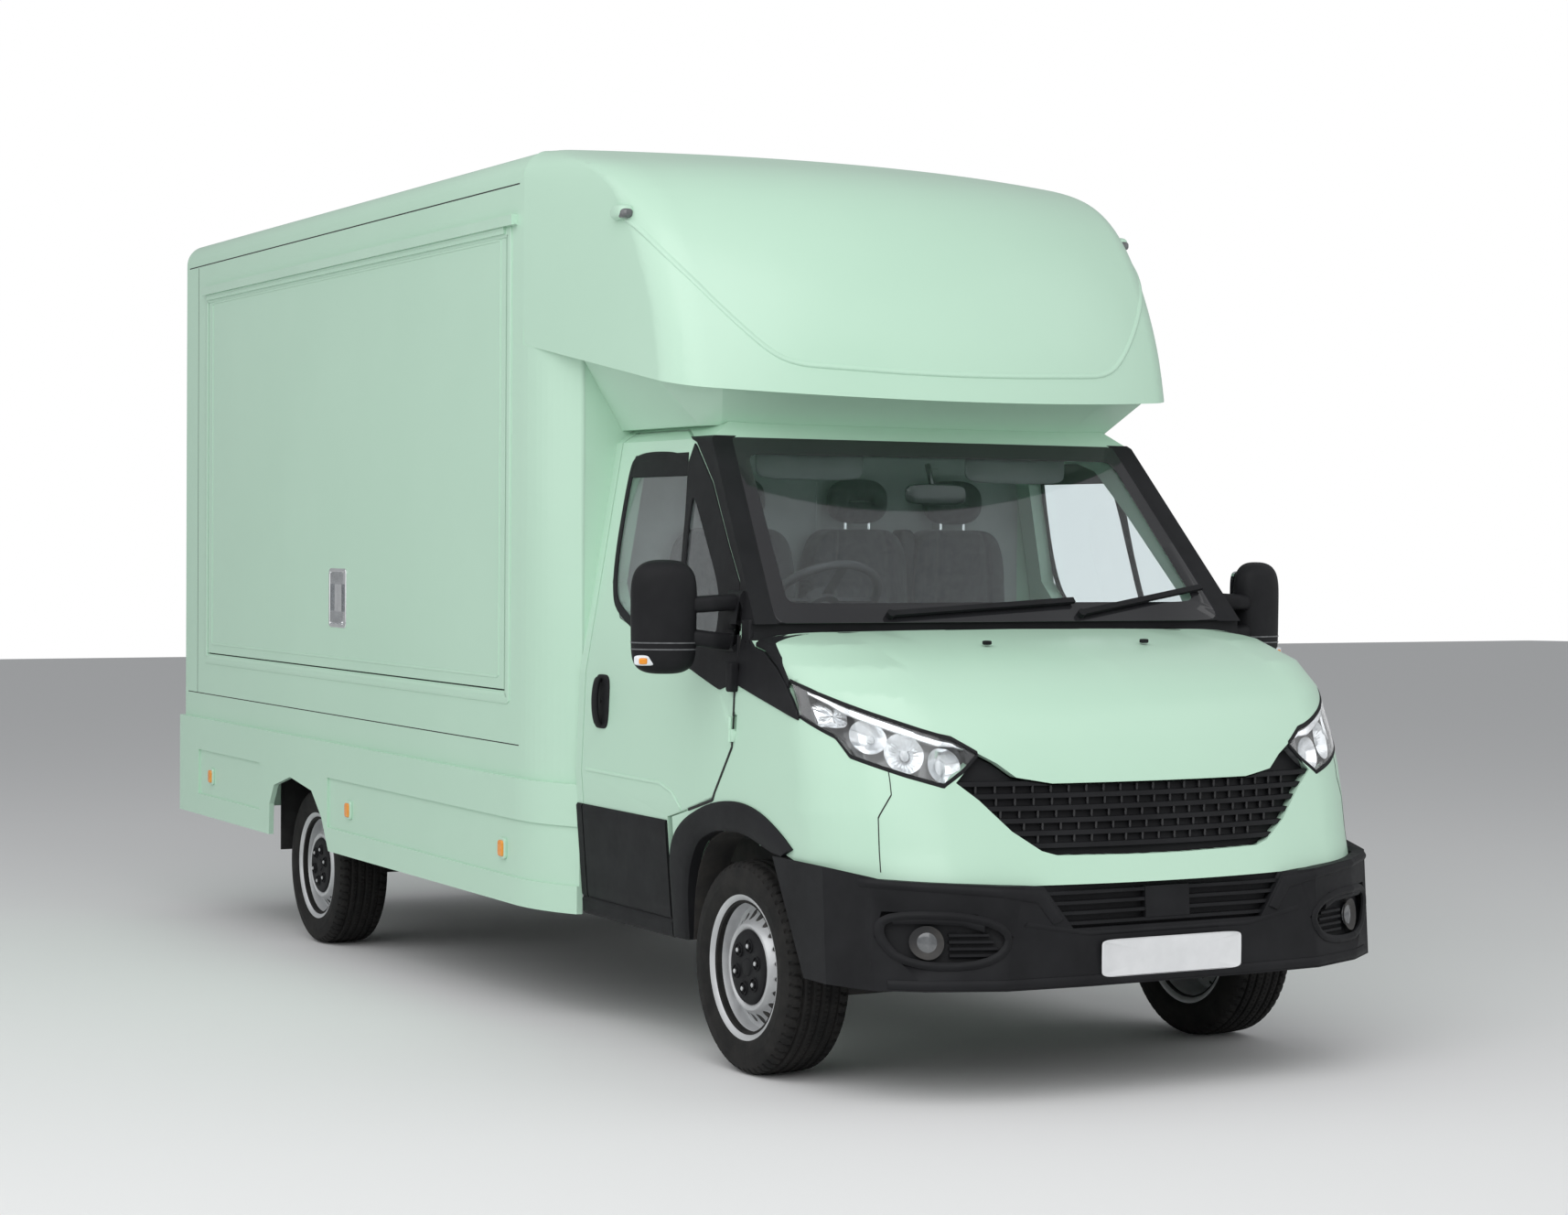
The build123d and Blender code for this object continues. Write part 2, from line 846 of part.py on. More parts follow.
def intake(bumper):
    panel = (bumper_form(intake_setback) - bumper_form(intake_setback + intake_thickness)) & block(
        -intake_half_width, intake_half_width,
        bumper_front_y, wing_front_y,
        intake_low_z, intake_high_z,
    )
    front = bumper_form(intake_setback - intake_slat_depth) - bumper_form(intake_setback + intake_thickness / 2)
    for share in intake_slat_shares:
        middle_z = at_share(intake_low_z, intake_high_z, share)
        panel = panel + (front & block(
            -intake_half_width, intake_half_width,
            bumper_front_y, wing_front_y,
            middle_z - intake_slat_height / 2, middle_z + intake_slat_height / 2,
        ))
    cover = bumper_form(cover_setback) - bumper_form(intake_setback + intake_thickness / 2)
    panel = panel + (cover & block(
        -cover_half_width, cover_half_width,
        bumper_front_y, wing_front_y,
        cover_low_z, cover_high_z,
    ))
    return panel - bumper


# Cabin: dashboard, steering wheel, seats
dash_rear_y = 190.0
dash_top_z = 1385.0
dash_low_z = 950.0
dash_inset = 200.0
dash_half_width = cab_half_width - dash_inset
dash_corner_radius = 60.0
driver_x = -450.0
wheel_tilt_deg = 40.0
steering_ring_radius = 205.0
steering_grip_radius = 15.0
steering_hub_radius = 60.0
steering_hub_length = 40.0
steering_y = 330.0
steering_z = 1490.0
column_radius = 32.0
column_length = 330.0
spoke_width = 40.0
spoke_thickness = 16.0


def dashboard():
    low_y = scuttle_y + scuttle_thickness
    points = [
        (low_y, dash_low_z),
        (dash_rear_y, dash_low_z),
        (dash_rear_y, dash_top_z - dash_corner_radius),
        (low_y + dash_corner_radius * 2, dash_top_z),
        (low_y, dash_top_z),
    ]
    body = along_x(face_of(points), -dash_half_width, dash_half_width)
    tube = Cylinder(column_radius, column_length, align=(Align.CENTER, Align.CENTER, Align.MAX))
    tube = Pos(driver_x, steering_y, steering_z) * Rot(-wheel_tilt_deg, 0, 0) * tube
    return body + tube


def steering_wheel():
    ring = Torus(steering_ring_radius, steering_grip_radius)
    hub = Cylinder(steering_hub_radius, steering_hub_length, align=(Align.CENTER, Align.CENTER, Align.MIN))
    across = Box(steering_ring_radius * 2, spoke_width, spoke_thickness)
    down = Box(spoke_width, steering_ring_radius, spoke_thickness)
    down = Pos(0, -steering_ring_radius / 2, 0) * down
    whole = Pos(0, 0, steering_hub_length / 2) * (ring + across + down) + hub
    return Pos(driver_x, steering_y, steering_z) * Rot(-wheel_tilt_deg, 0, 0) * Pos(0, 0, pin_clearance) * whole


# Seats, with a table of middle x, cushion width and headrest shifts at its end
seat_front_y = 430.0
seat_back_y = 930.0
seat_cushion_z = 1180.0
seat_base_z = 960.0
backrest_top_z = 1760.0
backrest_thickness = 130.0
headrest_width = 240.0
headrest_low_z = 1785.0
headrest_top_z = 1935.0
headrest_thickness = 90.0
headrest_post_radius = 9.0
driver_seat_width = 500.0
bench_x = 265.0
bench_width = 860.0
headrest_shift = 205.0
seat_table = (
    (driver_x, driver_seat_width, (0.0,)),
    (bench_x, bench_width, (-headrest_shift, headrest_shift)),
)


def seats():
    made = []
    for middle, width, heads in seat_table:
        low_x = middle - width / 2
        high_x = middle + width / 2
        box = block(
            low_x + panel_thickness, high_x - panel_thickness,
            seat_front_y + panel_thickness, seat_back_y,
            cab_floor_z + cab_floor_thickness, seat_base_z,
        )
        cushion = block(low_x, high_x, seat_front_y, seat_back_y, seat_base_z, seat_cushion_z)
        back = block(
            low_x, high_x,
            seat_back_y, seat_back_y + backrest_thickness,
            seat_base_z, backrest_top_z,
        )
        total = box + cushion + back
        for shift in heads:
            head_x = middle + shift
            head = block(
                head_x - headrest_width / 2, head_x + headrest_width / 2,
                seat_back_y + panel_gap, seat_back_y + panel_gap + headrest_thickness,
                headrest_low_z, headrest_top_z,
            )
            post = rod_z(
                headrest_post_radius,
                backrest_top_z - panel_thickness, headrest_low_z + panel_thickness,
                head_x, seat_back_y + headrest_thickness / 2,
            )
            total = total + head + post
        made.append(total)
    return made


# Box: plan with rounded front corners, floor, walls and roof
box_corner_radius = 720.0
box_side_front_y = 1480.0
box_turn_share = 0.5
roof_edge_radius = 100.0
roof_seam_drop = 120.0
roof_seam_z = box_roof_z - roof_seam_drop
rear_frame_depth = 45.0
rear_frame_y = box_rear_y - rear_frame_depth
deck_thickness = 12.0


def box_plan(grow):
    half_width = box_half_width + grow
    corner_x = half_width - (
        box_corner_radius
        - math.sqrt(box_corner_radius ** 2 - (box_side_front_y - box_front_y) ** 2)
    )
    turn = box_turn_share * math.asin((box_side_front_y - box_front_y) / box_corner_radius)
    centre_x = half_width - box_corner_radius
    mid_x = centre_x + box_corner_radius * math.cos(turn)
    mid_y = box_side_front_y - box_corner_radius * math.sin(turn)
    front_y = box_front_y - min(grow, 0.0)
    edges = []
    edges.append(Line((-corner_x, front_y), (corner_x, front_y)))
    edges.append(ThreePointArc((corner_x, front_y), (mid_x, mid_y), (half_width, box_side_front_y)))
    edges.append(Line((half_width, box_side_front_y), (half_width, box_rear_y + grow)))
    edges.append(Line((half_width, box_rear_y + grow), (-half_width, box_rear_y + grow)))
    edges.append(Line((-half_width, box_rear_y + grow), (-half_width, box_side_front_y)))
    edges.append(ThreePointArc((-half_width, box_side_front_y), (-mid_x, mid_y), (-corner_x, front_y)))
    return make_face(edges)


def box_section(grow):
    half_width = box_half_width + grow
    face = Rectangle(half_width * 2, box_roof_z + grow - box_floor_z + overrun)
    middle_z = (box_roof_z + grow + box_floor_z - overrun) / 2
    face = Pos(0, middle_z) * face
    top = face.vertices().sort_by(Axis.Y)[-2:]
    return fillet(top, roof_edge_radius + grow)


def box_tube():
    outer = along_y(box_section(0), box_side_front_y, rear_frame_y)
    inner = along_y(box_section(-box_wall), box_side_front_y - overrun, rear_frame_y + overrun)
    return outer - inner


def box_floor():
    board = along_z(box_plan(0), box_floor_z - floor_thickness, box_floor_z)
    return board + along_z(box_plan(-box_wall - panel_gap), box_floor_z, box_floor_z + deck_thickness)


# Serving hatch in the right wall
hatch_front_y = 1635.0
hatch_rear_y = 5250.0
hatch_low_z = 1155.0
hatch_top_drop = 270.0
hatch_top_z = box_roof_z - hatch_top_drop
hatch_axis_offset = 8.0
hatch_axis_x = -box_half_width - hatch_axis_offset
hatch_axis_z = hatch_top_z
bead_radius = 7.0
rail_height = 42.0
rail_depth = 24.0
rail_front_y = 1540.0
rail_rear_y = 5300.0
rail_lip = 3.5


def box_side(side):
    panel = box_tube() & block(
        min(side * box_half_width, side * (box_half_width - box_wall)),
        max(side * box_half_width, side * (box_half_width - box_wall)),
        box_side_front_y, rear_frame_y,
        box_floor_z, roof_seam_z,
    )
    if side == right:
        panel = panel - block(
            -box_half_width - overrun, -box_half_width + box_wall + overrun,
            hatch_front_y, hatch_rear_y,
            hatch_low_z, hatch_top_z,
        )
    return panel


def hatch():
    panel = block(
        -box_half_width, -box_half_width + box_wall,
        hatch_front_y + panel_gap, hatch_rear_y - panel_gap,
        hatch_low_z + panel_gap, hatch_top_z - panel_gap,
    )
    bead = rod_y(bead_radius, hatch_front_y + panel_gap, hatch_rear_y - panel_gap, hatch_axis_x, hatch_axis_z)
    web = block(
        hatch_axis_x - rail_lip, -box_half_width + panel_thickness,
        hatch_front_y + panel_gap, hatch_rear_y - panel_gap,
        hatch_axis_z - bead_radius * 3, hatch_axis_z - bead_radius / 2,
    )
    web = web & block(
        hatch_axis_x - rail_lip, -box_half_width + rail_lip,
        hatch_front_y, hatch_rear_y,
        hatch_low_z, hatch_top_z,
    )
    return panel + bead + web - latch_cup()


def drip_rail():
    rail = block(
        -box_half_width - rail_depth, -box_half_width,
        rail_front_y, rail_rear_y,
        hatch_axis_z + rail_lip, hatch_axis_z + rail_height,
    )
    groove = rod_y(
        bead_radius + pin_clearance,
        rail_front_y - overrun, rail_rear_y + overrun,
        hatch_axis_x, hatch_axis_z,
    )
    return rail - groove


def box_roof():
    return box_tube() & block(
        -box_half_width - overrun, box_half_width + overrun,
        box_side_front_y, rear_frame_y,
        roof_seam_z, box_roof_z + overrun,
    )


# Luton: moulding over the cab, its lower edge in a plane that climbs rearwards
luton_edge_front_z = 2200.0
luton_edge_front_y = 150.0
luton_edge_slope = 0.168
luton_corner_radius = 190.0
luton_base_z = 2050.0
luton_base_front_y = 78.0
luton_crown_front_y = 1330.0
luton_floor_thickness = 40.0
luton_side_bulge = 209.0
# Sections: shares of the height from base to roof, of the front's way back, and of the half width
luton_profile_shares = (
    (0.0, 0.0, 1.0),
    (0.2315, 0.048, 1.0),
    (0.463, 0.115, 1.0),
    (0.6944, 0.235, 1.0),
    (0.8333, 0.369, 1.0),
    (0.9167, 0.545, 0.999),
    (0.9676, 0.744, 0.977),
    (1.0, 1.0, 0.906),
)
luton_front_width_share = 0.955
luton_corner_share = 0.6


def luton_section(z, front_y, half_width, rear_y):
    front_half = half_width * luton_front_width_share
    side_y = min(front_y + luton_side_bulge, box_side_front_y - panel_gap)
    arc = ThreePointArc((-front_half, side_y), (0, front_y), (front_half, side_y))
    edges = [
        arc,
        Line((front_half, side_y), (half_width, rear_y)),
        Line((half_width, rear_y), (-half_width, rear_y)),
        Line((-half_width, rear_y), (-front_half, side_y)),
    ]
    face = make_face(edges)
    corners = [v for v in face.vertices() if v.Y < rear_y - panel_gap / 2]
    radius = min(luton_corner_radius, (rear_y - side_y) * luton_corner_share)
    face = fillet(corners, radius)
    return Plane(origin=(0, 0, z)) * face


def luton_form(inset):
    faces = []
    rear_y = box_side_front_y + (overrun if inset else 0)
    for up_share, back_share, width_share in luton_profile_shares:
        z = at_share(luton_base_z, box_roof_z, up_share) - inset * up_share
        front_y = at_share(luton_base_front_y, luton_crown_front_y, back_share) + inset
        faces.append(luton_section(z, front_y, box_half_width * width_share - inset, rear_y))
    return loft(faces)


def luton_edge_height(y):
    return luton_edge_front_z + (y - luton_edge_front_y) * luton_edge_slope


def over_luton_edge(rise):
    low_y = nose_front_y
    high_y = box_side_front_y + overrun * 2
    points = [
        (low_y, luton_edge_height(low_y) + rise),
        (high_y, luton_edge_height(high_y) + rise),
        (high_y, box_roof_z + overrun),
        (low_y, box_roof_z + overrun),
    ]
    return along_x(face_of(points), -box_half_width - overrun, box_half_width + overrun)


def luton():
    shell = luton_form(0) & over_luton_edge(0)
    shell = shell - (luton_form(box_wall) & over_luton_edge(luton_floor_thickness))
    well = along_z(box_plan(-box_wall), box_floor_z, luton_edge_height(box_side_front_y) + luton_floor_thickness)
    return shell - well


# Collar between the luton and the cab roof, its foot let into the roof
collar_sink = 29.0
collar_low_z = cab_roof_z - collar_sink
collar_front_y = 250.0
# Half outlines: shares of the cab's or the box's half width and of the length back to the box
collar_low_shares = ((0.62, 0.216), (0.775, 0.227), (0.825, 0.307), (0.825, 1.0))
collar_top_shares = ((0.604, 0.0), (0.802, 0.057), (0.929, 0.307), (0.929, 1.0))


def collar():
    low_half = placed(collar_low_shares, 0.0, cab_half_width, collar_front_y, box_front_y)
    top_half = placed(collar_top_shares, 0.0, box_half_width, collar_front_y, box_front_y)
    low = Plane(origin=(0, 0, collar_low_z)) * face_of(both_sides(low_half))
    corners = [(x, y, luton_edge_height(y)) for x, y in both_sides(top_half)]
    top = make_face(Polyline(*corners, close=True).edges())
    return loft([low, top], ruled=True) - cab_outer


def box_front():
    wall = along_z(box_plan(0), box_floor_z, box_roof_z)
    wall = wall - along_z(box_plan(-box_wall), box_floor_z - overrun, box_roof_z + overrun)
    wall = wall & block(
        -box_half_width - overrun, box_half_width + overrun,
        box_front_y - overrun, box_side_front_y,
        box_floor_z, box_roof_z,
    )
    return wall - over_luton_edge(0)


# Rear wall and its door
rear_opening_half_width = 400.0
rear_opening_low_z = 905.0
rear_opening_top_drop = 250.0
rear_opening_top_z = box_roof_z - rear_opening_top_drop
# Hinges of the rear door stand on the outer face
rear_hinge_offset = 3.0
rear_hinge_shares = (0.124, 0.453, 0.782)
rear_hinge_heights = [at_share(rear_opening_low_z, rear_opening_top_z, share) for share in rear_hinge_shares]
rear_hinge_x = rear_opening_half_width - panel_gap / 2
rear_hinge_y = box_rear_y + rear_hinge_offset


def rear_barrel(height, moving):
    low_z = height + (hinge_knuckle_length + pin_clearance if moving else 0.0)
    high_z = low_z + hinge_knuckle_length
    reach = -hinge_leaf if moving else hinge_leaf
    leaf = block(
        min(rear_hinge_x, rear_hinge_x + reach), max(rear_hinge_x, rear_hinge_x + reach),
        rear_hinge_y - hinge_leaf_thickness, rear_hinge_y,
        low_z, high_z,
    )
    made = rod_z(hinge_radius, low_z, high_z, rear_hinge_x, rear_hinge_y) + leaf
    pin_low_z = height + hinge_knuckle_length / 2
    if moving:
        return made + rod_z(hinge_pin_radius, pin_low_z, high_z, rear_hinge_x, rear_hinge_y)
    return made - rod_z(
        hinge_pin_radius + pin_clearance, height - overrun, high_z + overrun,
        rear_hinge_x, rear_hinge_y,
    )


def rear_hinge_room(height, moving):
    low_z = height + (hinge_knuckle_length if moving else 0.0)
    return block(
        rear_hinge_x - hinge_leaf - panel_gap, rear_hinge_x + hinge_leaf + panel_gap,
        rear_hinge_y - hinge_radius - panel_gap, rear_hinge_y + overrun,
        low_z - panel_gap / 2, low_z + hinge_knuckle_length + panel_gap / 2,
    )


def box_rear():
    wall = along_y(box_section(0), rear_frame_y, box_rear_y) & block(
        -box_half_width, box_half_width,
        rear_frame_y, box_rear_y,
        box_floor_z, box_roof_z,
    )
    wall = wall - block(
        -rear_opening_half_width, rear_opening_half_width,
        rear_frame_y - overrun, box_rear_y + overrun,
        rear_opening_low_z, rear_opening_top_z,
    )
    for height in rear_hinge_heights:
        wall = wall - rear_hinge_room(height, True)
        wall = wall + rear_barrel(height, False)
    return wall


def rear_door():
    panel = block(
        -rear_opening_half_width + panel_gap, rear_opening_half_width - panel_gap,
        rear_frame_y, box_rear_y,
        rear_opening_low_z + panel_gap, rear_opening_top_z - panel_gap,
    )
    for height in rear_hinge_heights:
        panel = panel - rear_hinge_room(height, False)
        panel = panel + rear_barrel(height, True)
    return panel


# Skirts round the box floor, open at the rear wheels, with a long recess each side of the wheel
skirt_low_z = 382.0
skirt_recess = 9.0
recess_low_z = 482.0
recess_high_z = 694.0
# Ends of the recesses along the truck
recess_lengths = ((1000.0, 3500.0), (4400.0, 5320.0))
# Rear arch outline, shares of the wheel radius about the rear axle
rear_arch_shares = (
    (-1.47, -0.2),
    (-1.36, 0.12),
    (-1.10, 0.52),
    (-0.73, 0.82),
    (0.09, 0.93),
    (0.73, 0.78),
    (0.91, 0.52),
    (0.94, -0.2),
)


def rear_arch_prism():
    points = [
        (rear_axle_y + y * wheel_radius, wheel_radius + z * wheel_radius)
        for y, z in rear_arch_shares
    ]
    return along_x(face_of(points), -box_half_width - overrun, box_half_width + overrun)


def skirt_ring(outer_grow, inner_grow, low_z, high_z):
    ring = along_z(box_plan(outer_grow), low_z, high_z)
    return ring - along_z(box_plan(inner_grow), low_z - overrun, high_z + overrun)


def skirts():
    ring = skirt_ring(skirt_thickness, 0, skirt_low_z, box_floor_z)
    shallow = skirt_ring(skirt_thickness + panel_gap, skirt_thickness - skirt_recess, recess_low_z, recess_high_z)
    for front_y, rear_y in recess_lengths:
        ring = ring - (shallow & block(
            -box_half_width - overrun, box_half_width + overrun,
            front_y, rear_y,
            skirt_low_z, box_floor_z,
        ))
    ring = ring & block(
        -box_half_width - overrun, box_half_width + overrun,
        box_front_y, box_rear_y + overrun,
        skirt_low_z, box_floor_z,
    )
    return ring - rear_arch_prism()


# Ladder frame
rail_x = 420.0
rail_width = 70.0
frame_low_z = 560.0
frame_high_z = box_floor_z - floor_thickness
hanger_length = 60.0
frame_front_y = -900.0
frame_rear_y = 5500.0
cab_frame_high_z = cab_floor_z
cross_member_length = 80.0
cross_member_places = (-0.93, 0.10, 0.30, 0.52, 0.68, 0.88, 1.0)


def chassis_frame():
    total = None
    for side, name in sides:
        low_x = side * rail_x - rail_width / 2
        front = block(low_x, low_x + rail_width, frame_front_y, box_front_y, frame_low_z, cab_frame_high_z)
        rear = block(low_x, low_x + rail_width, box_front_y, frame_rear_y, frame_low_z, frame_high_z)
        rail = front + rear
        total = rail if total is None else total + rail
    for share in cross_member_places:
        middle = frame_front_y * -share if share < 0 else frame_rear_y * share
        low_y = middle - cross_member_length
        total = total + block(-rail_x, rail_x, low_y, low_y + cross_member_length, frame_low_z, frame_low_z + rail_width)
    return total


# Engine: one plain block on arms to the frame
engine_half_width = 250.0
engine_front_y = -820.0
engine_rear_y = -230.0
engine_low_z = 480.0
engine_top_z = 1120.0
engine_arm_low_z = 620.0
engine_arm_y = -520.0


def engine_block():
    body = block(-engine_half_width, engine_half_width, engine_front_y, engine_rear_y, engine_low_z, engine_top_z)
    reach = rail_x - rail_width / 2
    arms = block(-reach, reach, engine_arm_y, engine_arm_y + rail_width, engine_arm_low_z, engine_arm_low_z + rail_width)
    return body + arms


# Fuel tank hung on the right rail
tank_front_y = 1500.0
tank_length = 1100.0
tank_width = 420.0
tank_low_z = 430.0
tank_corner_radius = 50.0


def fuel_tank():
    inner_x = rail_x + rail_width / 2
    face = face_of([
        (-inner_x - tank_width, tank_low_z),
        (-inner_x, tank_low_z),
        (-inner_x, frame_high_z - rail_width),
        (-inner_x - tank_width, frame_high_z - rail_width),
    ])
    low = face.vertices().sort_by(Axis.Y)[:2]
    return along_y(fillet(low, tank_corner_radius), tank_front_y, tank_front_y + tank_length)


# Mirrors on the doors: a swept head on two arms
mirror_head_width = 205.0
mirror_head_depth = 85.0
mirror_head_low_z = 1315.0
mirror_head_high_z = 1665.0
mirror_reach = 185.0
mirror_head_x = cab_half_width + mirror_reach
mirror_head_y = 60.0
mirror_sweep_deg = 24.0
mirror_head_radius = 32.0
mirror_arm_y = 12.0
mirror_arm_depth = 46.0
mirror_arm_height = 46.0
mirror_arm_heights = (1370.0, 1495.0)
mirror_foot_inset = 85.0
mirror_foot_x = cab_half_width - mirror_foot_inset
mirror_foot_half_length = 48.0
mirror_foot_thickness = 24.0


def mirror_unit(side):
    height = mirror_head_high_z - mirror_head_low_z
    head = Box(mirror_head_width, mirror_head_depth, height)
    head = fillet(head.edges().filter_by(Axis.Z), mirror_head_radius)
    middle_z = (mirror_head_low_z + mirror_head_high_z) / 2
    head = Pos(mirror_head_x, mirror_head_y, middle_z) * Rot(0, 0, mirror_sweep_deg) * head
    made = head
    for low_z in mirror_arm_heights:
        made = made + block(
            mirror_foot_x, mirror_head_x,
            mirror_arm_y - mirror_arm_depth / 2, mirror_arm_y + mirror_arm_depth / 2,
            low_z, low_z + mirror_arm_height,
        )
    foot = block(
        mirror_foot_x, cab_half_width + mirror_foot_thickness,
        mirror_arm_y - mirror_foot_half_length, mirror_arm_y + mirror_foot_half_length,
        mirror_arm_heights[0], mirror_arm_heights[1] + mirror_arm_height,
    )
    made = made + (foot & cab_form(-mirror_foot_thickness))
    made = made - cab_outer
    return made if side == left else mirrored(made)


# Wipers lie on the glass: shares of the half width at pivot and tip, and of the glass slope at the tip
wiper_shares = (
    (-0.45, 0.29, 0.10),
    (0.30, 0.85, 0.17),
)
wiper_pivot_share = 0.035
wiper_pivot_radius = 14.0
wiper_arm_width = 20.0
wiper_thickness = 12.0
wiper_lift = 10.0


def wipers():
    rise = (screen_head_y - screen_foot_y, screen_head_z - screen_foot_z)
    slope_length = math.hypot(*rise)
    glass = Plane(
        origin=(0, screen_foot_y, screen_foot_z),
        x_dir=(1, 0, 0),
        z_dir=(0, -rise[1] / slope_length, rise[0] / slope_length),
    )
    made = []
    for pivot_share, end_share, tip_share in wiper_shares:
        pivot_x = cab_half_width * pivot_share
        tip_x = cab_half_width * end_share
        start = wiper_pivot_share * slope_length
        end = tip_share * slope_length
        run = math.hypot(tip_x - pivot_x, end - start)
        turn = math.degrees(math.atan2(end - start, tip_x - pivot_x))
        arm = Pos(run / 2, 0, wiper_lift + wiper_thickness / 2) * Box(run, wiper_arm_width, wiper_thickness)
        pivot = Cylinder(wiper_pivot_radius, wiper_lift + wiper_thickness, align=(Align.CENTER, Align.CENTER, Align.MIN))
        made.append(glass * Pos(pivot_x, start, 0) * Rot(0, 0, turn) * (arm + pivot))
    return apart(made)


# Rear lamps, mud flaps and the hatch's latch
lamp_width = 110.0
lamp_height = 240.0
lamp_low_z = 520.0
lamp_inset = 60.0
flap_width = 250.0
flap_inset = 69.0
flap_thickness = 10.0
flap_low_z = 300.0
flap_gap = 70.0
latch_low_z = 1345.0
latch_height = 230.0
latch_rear_y = 3530.0
latch_width = 190.0
latch_depth = 30.0
latch_wall = 4.0
latch_paddle_share = 0.45


def rear_lamps():
    outer_x = box_half_width - lamp_inset
    one = block(
        outer_x - lamp_width, outer_x,
        box_rear_y + skirt_thickness, box_rear_y + skirt_thickness + lamp_thickness,
        lamp_low_z, lamp_low_z + lamp_height,
    )
    return apart([one, mirrored(one)])


def mud_flaps():
    low_y = rear_axle_y + wheel_radius + flap_gap
    outer_x = box_half_width - flap_inset
    one = block(
        outer_x - flap_width, outer_x,
        low_y, low_y + flap_thickness,
        flap_low_z, box_floor_z - floor_thickness,
    )
    return apart([one, mirrored(one)])


def latch_cup():
    return block(
        -box_half_width - overrun, -box_half_width + latch_depth,
        latch_rear_y - latch_width, latch_rear_y,
        latch_low_z, latch_low_z + latch_height,
    )


def hatch_latch():
    shell = block(
        -box_half_width, -box_half_width + latch_depth,
        latch_rear_y - latch_width, latch_rear_y,
        latch_low_z, latch_low_z + latch_height,
    )
    hollow = block(
        -box_half_width - overrun, -box_half_width + latch_depth - latch_wall,
        latch_rear_y - latch_width + latch_wall, latch_rear_y - latch_wall,
        latch_low_z + latch_wall, latch_low_z + latch_height - latch_wall,
    )
    middle_y = latch_rear_y - latch_width / 2
    half = latch_width * latch_paddle_share / 2
    paddle = block(
        -box_half_width, -box_half_width + latch_depth,
        middle_y - half, middle_y + half,
        latch_low_z + latch_height / 4, latch_low_z + latch_height * 3 / 4,
    )
    return shell - hollow + paddle


# Front axle, knuckles and rear axle stand level under the leaning frame
kingpin_x = 690.0
kingpin_radius = 30.0
kingpin_half_height = 90.0
trunnion_radius = 12.0
trunnion_length = 26.0
fork_gap = 0.5
axle_beam_half_depth = 45.0
axle_beam_low_z = 235.0
axle_beam_height = 70.0
perch_x = rail_x
perch_radius = 34.0
rear_tube_radius = 46.0
differential_radius = 135.0
differential_length = 260.0
rear_tube_reach = 700.0
fork_inner_share = 2.5
fork_outer_share = 1.2
lug_reach_share = 0.8
hub_end_share = 0.5
spindle_share = 0.185
flange_share = 0.33
flange_thickness = 12.0
spring_half_length = 640.0
spring_thickness = 34.0
spring_rise = 105.0
hub_face_share = 0.44


def spindle(inner_x):
    # Stub and flange that carry the wheel at its dished centre
    face_x = half_track + tyre_width / 2 * hub_face_share - pin_clearance
    stub = rod_x(rim_radius * spindle_share, inner_x, half_track + tyre_width / 2 * hub_end_share, 0, 0)
    return stub + rod_x(rim_radius * flange_share, face_x - flange_thickness, face_x, 0, 0)


def knuckle(side):
    barrel = rod_z(kingpin_radius, -kingpin_half_height, kingpin_half_height, kingpin_x, 0)
    reach = kingpin_half_height + trunnion_length
    pins = rod_z(trunnion_radius, -reach, reach, kingpin_x, 0)
    made = Pos(0, front_axle_y, wheel_radius) * (barrel + pins + spindle(kingpin_x))
    return made if side == left else mirrored(made)


def axle_fork():
    # Two lugs and a post at the beam's left end
    lug_low = kingpin_half_height + fork_gap
    lug_high = kingpin_half_height + trunnion_length
    inner_x = kingpin_x - kingpin_radius * fork_inner_share
    outer_x = kingpin_x - kingpin_radius * fork_outer_share
    made = block(inner_x, outer_x, -kingpin_radius, kingpin_radius, -lug_high, lug_high)
    for low_z in (-lug_high, lug_low):
        lug = block(
            inner_x, kingpin_x + kingpin_radius * lug_reach_share,
            -kingpin_radius, kingpin_radius,
            low_z, low_z + lug_high - lug_low,
        )
        made = made + lug
    made = made - rod_z(trunnion_radius + pin_clearance, -lug_high * 2, lug_high * 2, kingpin_x, 0)
    return Pos(0, front_axle_y, wheel_radius) * made


def front_axle(frame):
    reach = kingpin_x - kingpin_radius * fork_outer_share
    beam = block(
        -reach, reach,
        front_axle_y - axle_beam_half_depth, front_axle_y + axle_beam_half_depth,
        axle_beam_low_z, axle_beam_low_z + axle_beam_height,
    )
    made = beam + axle_fork() + mirrored(axle_fork())
    for side, name in sides:
        perch = rod_z(perch_radius, axle_beam_low_z, frame_low_z + overrun, side * perch_x, front_axle_y)
        made = made + perch
    return made - frame


def leaf_spring():
    # One leaf pack on the left rail, its ends hung from the frame
    low_z = rear_tube_radius
    points = [
        (-spring_half_length, low_z + spring_rise),
        (-hanger_length, low_z),
        (hanger_length, low_z),
        (spring_half_length, low_z + spring_rise),
        (spring_half_length, low_z + spring_rise + spring_thickness),
        (hanger_length, low_z + spring_thickness),
        (-hanger_length, low_z + spring_thickness),
        (-spring_half_length, low_z + spring_rise + spring_thickness),
    ]
    leaf = along_x(face_of(points), rail_x - rail_width / 2, rail_x + rail_width / 2)
    for end in (-1, 1):
        middle = end * (spring_half_length - hanger_length / 2)
        leaf = leaf + block(
            rail_x - rail_width / 2, rail_x + rail_width / 2,
            middle - hanger_length / 2, middle + hanger_length / 2,
            low_z + spring_rise, frame_high_z - wheel_radius,
        )
    seat = block(
        rail_x - rail_width / 2, rail_x + rail_width / 2,
        -hanger_length, hanger_length,
        0, low_z + spring_thickness,
    )
    return leaf + seat


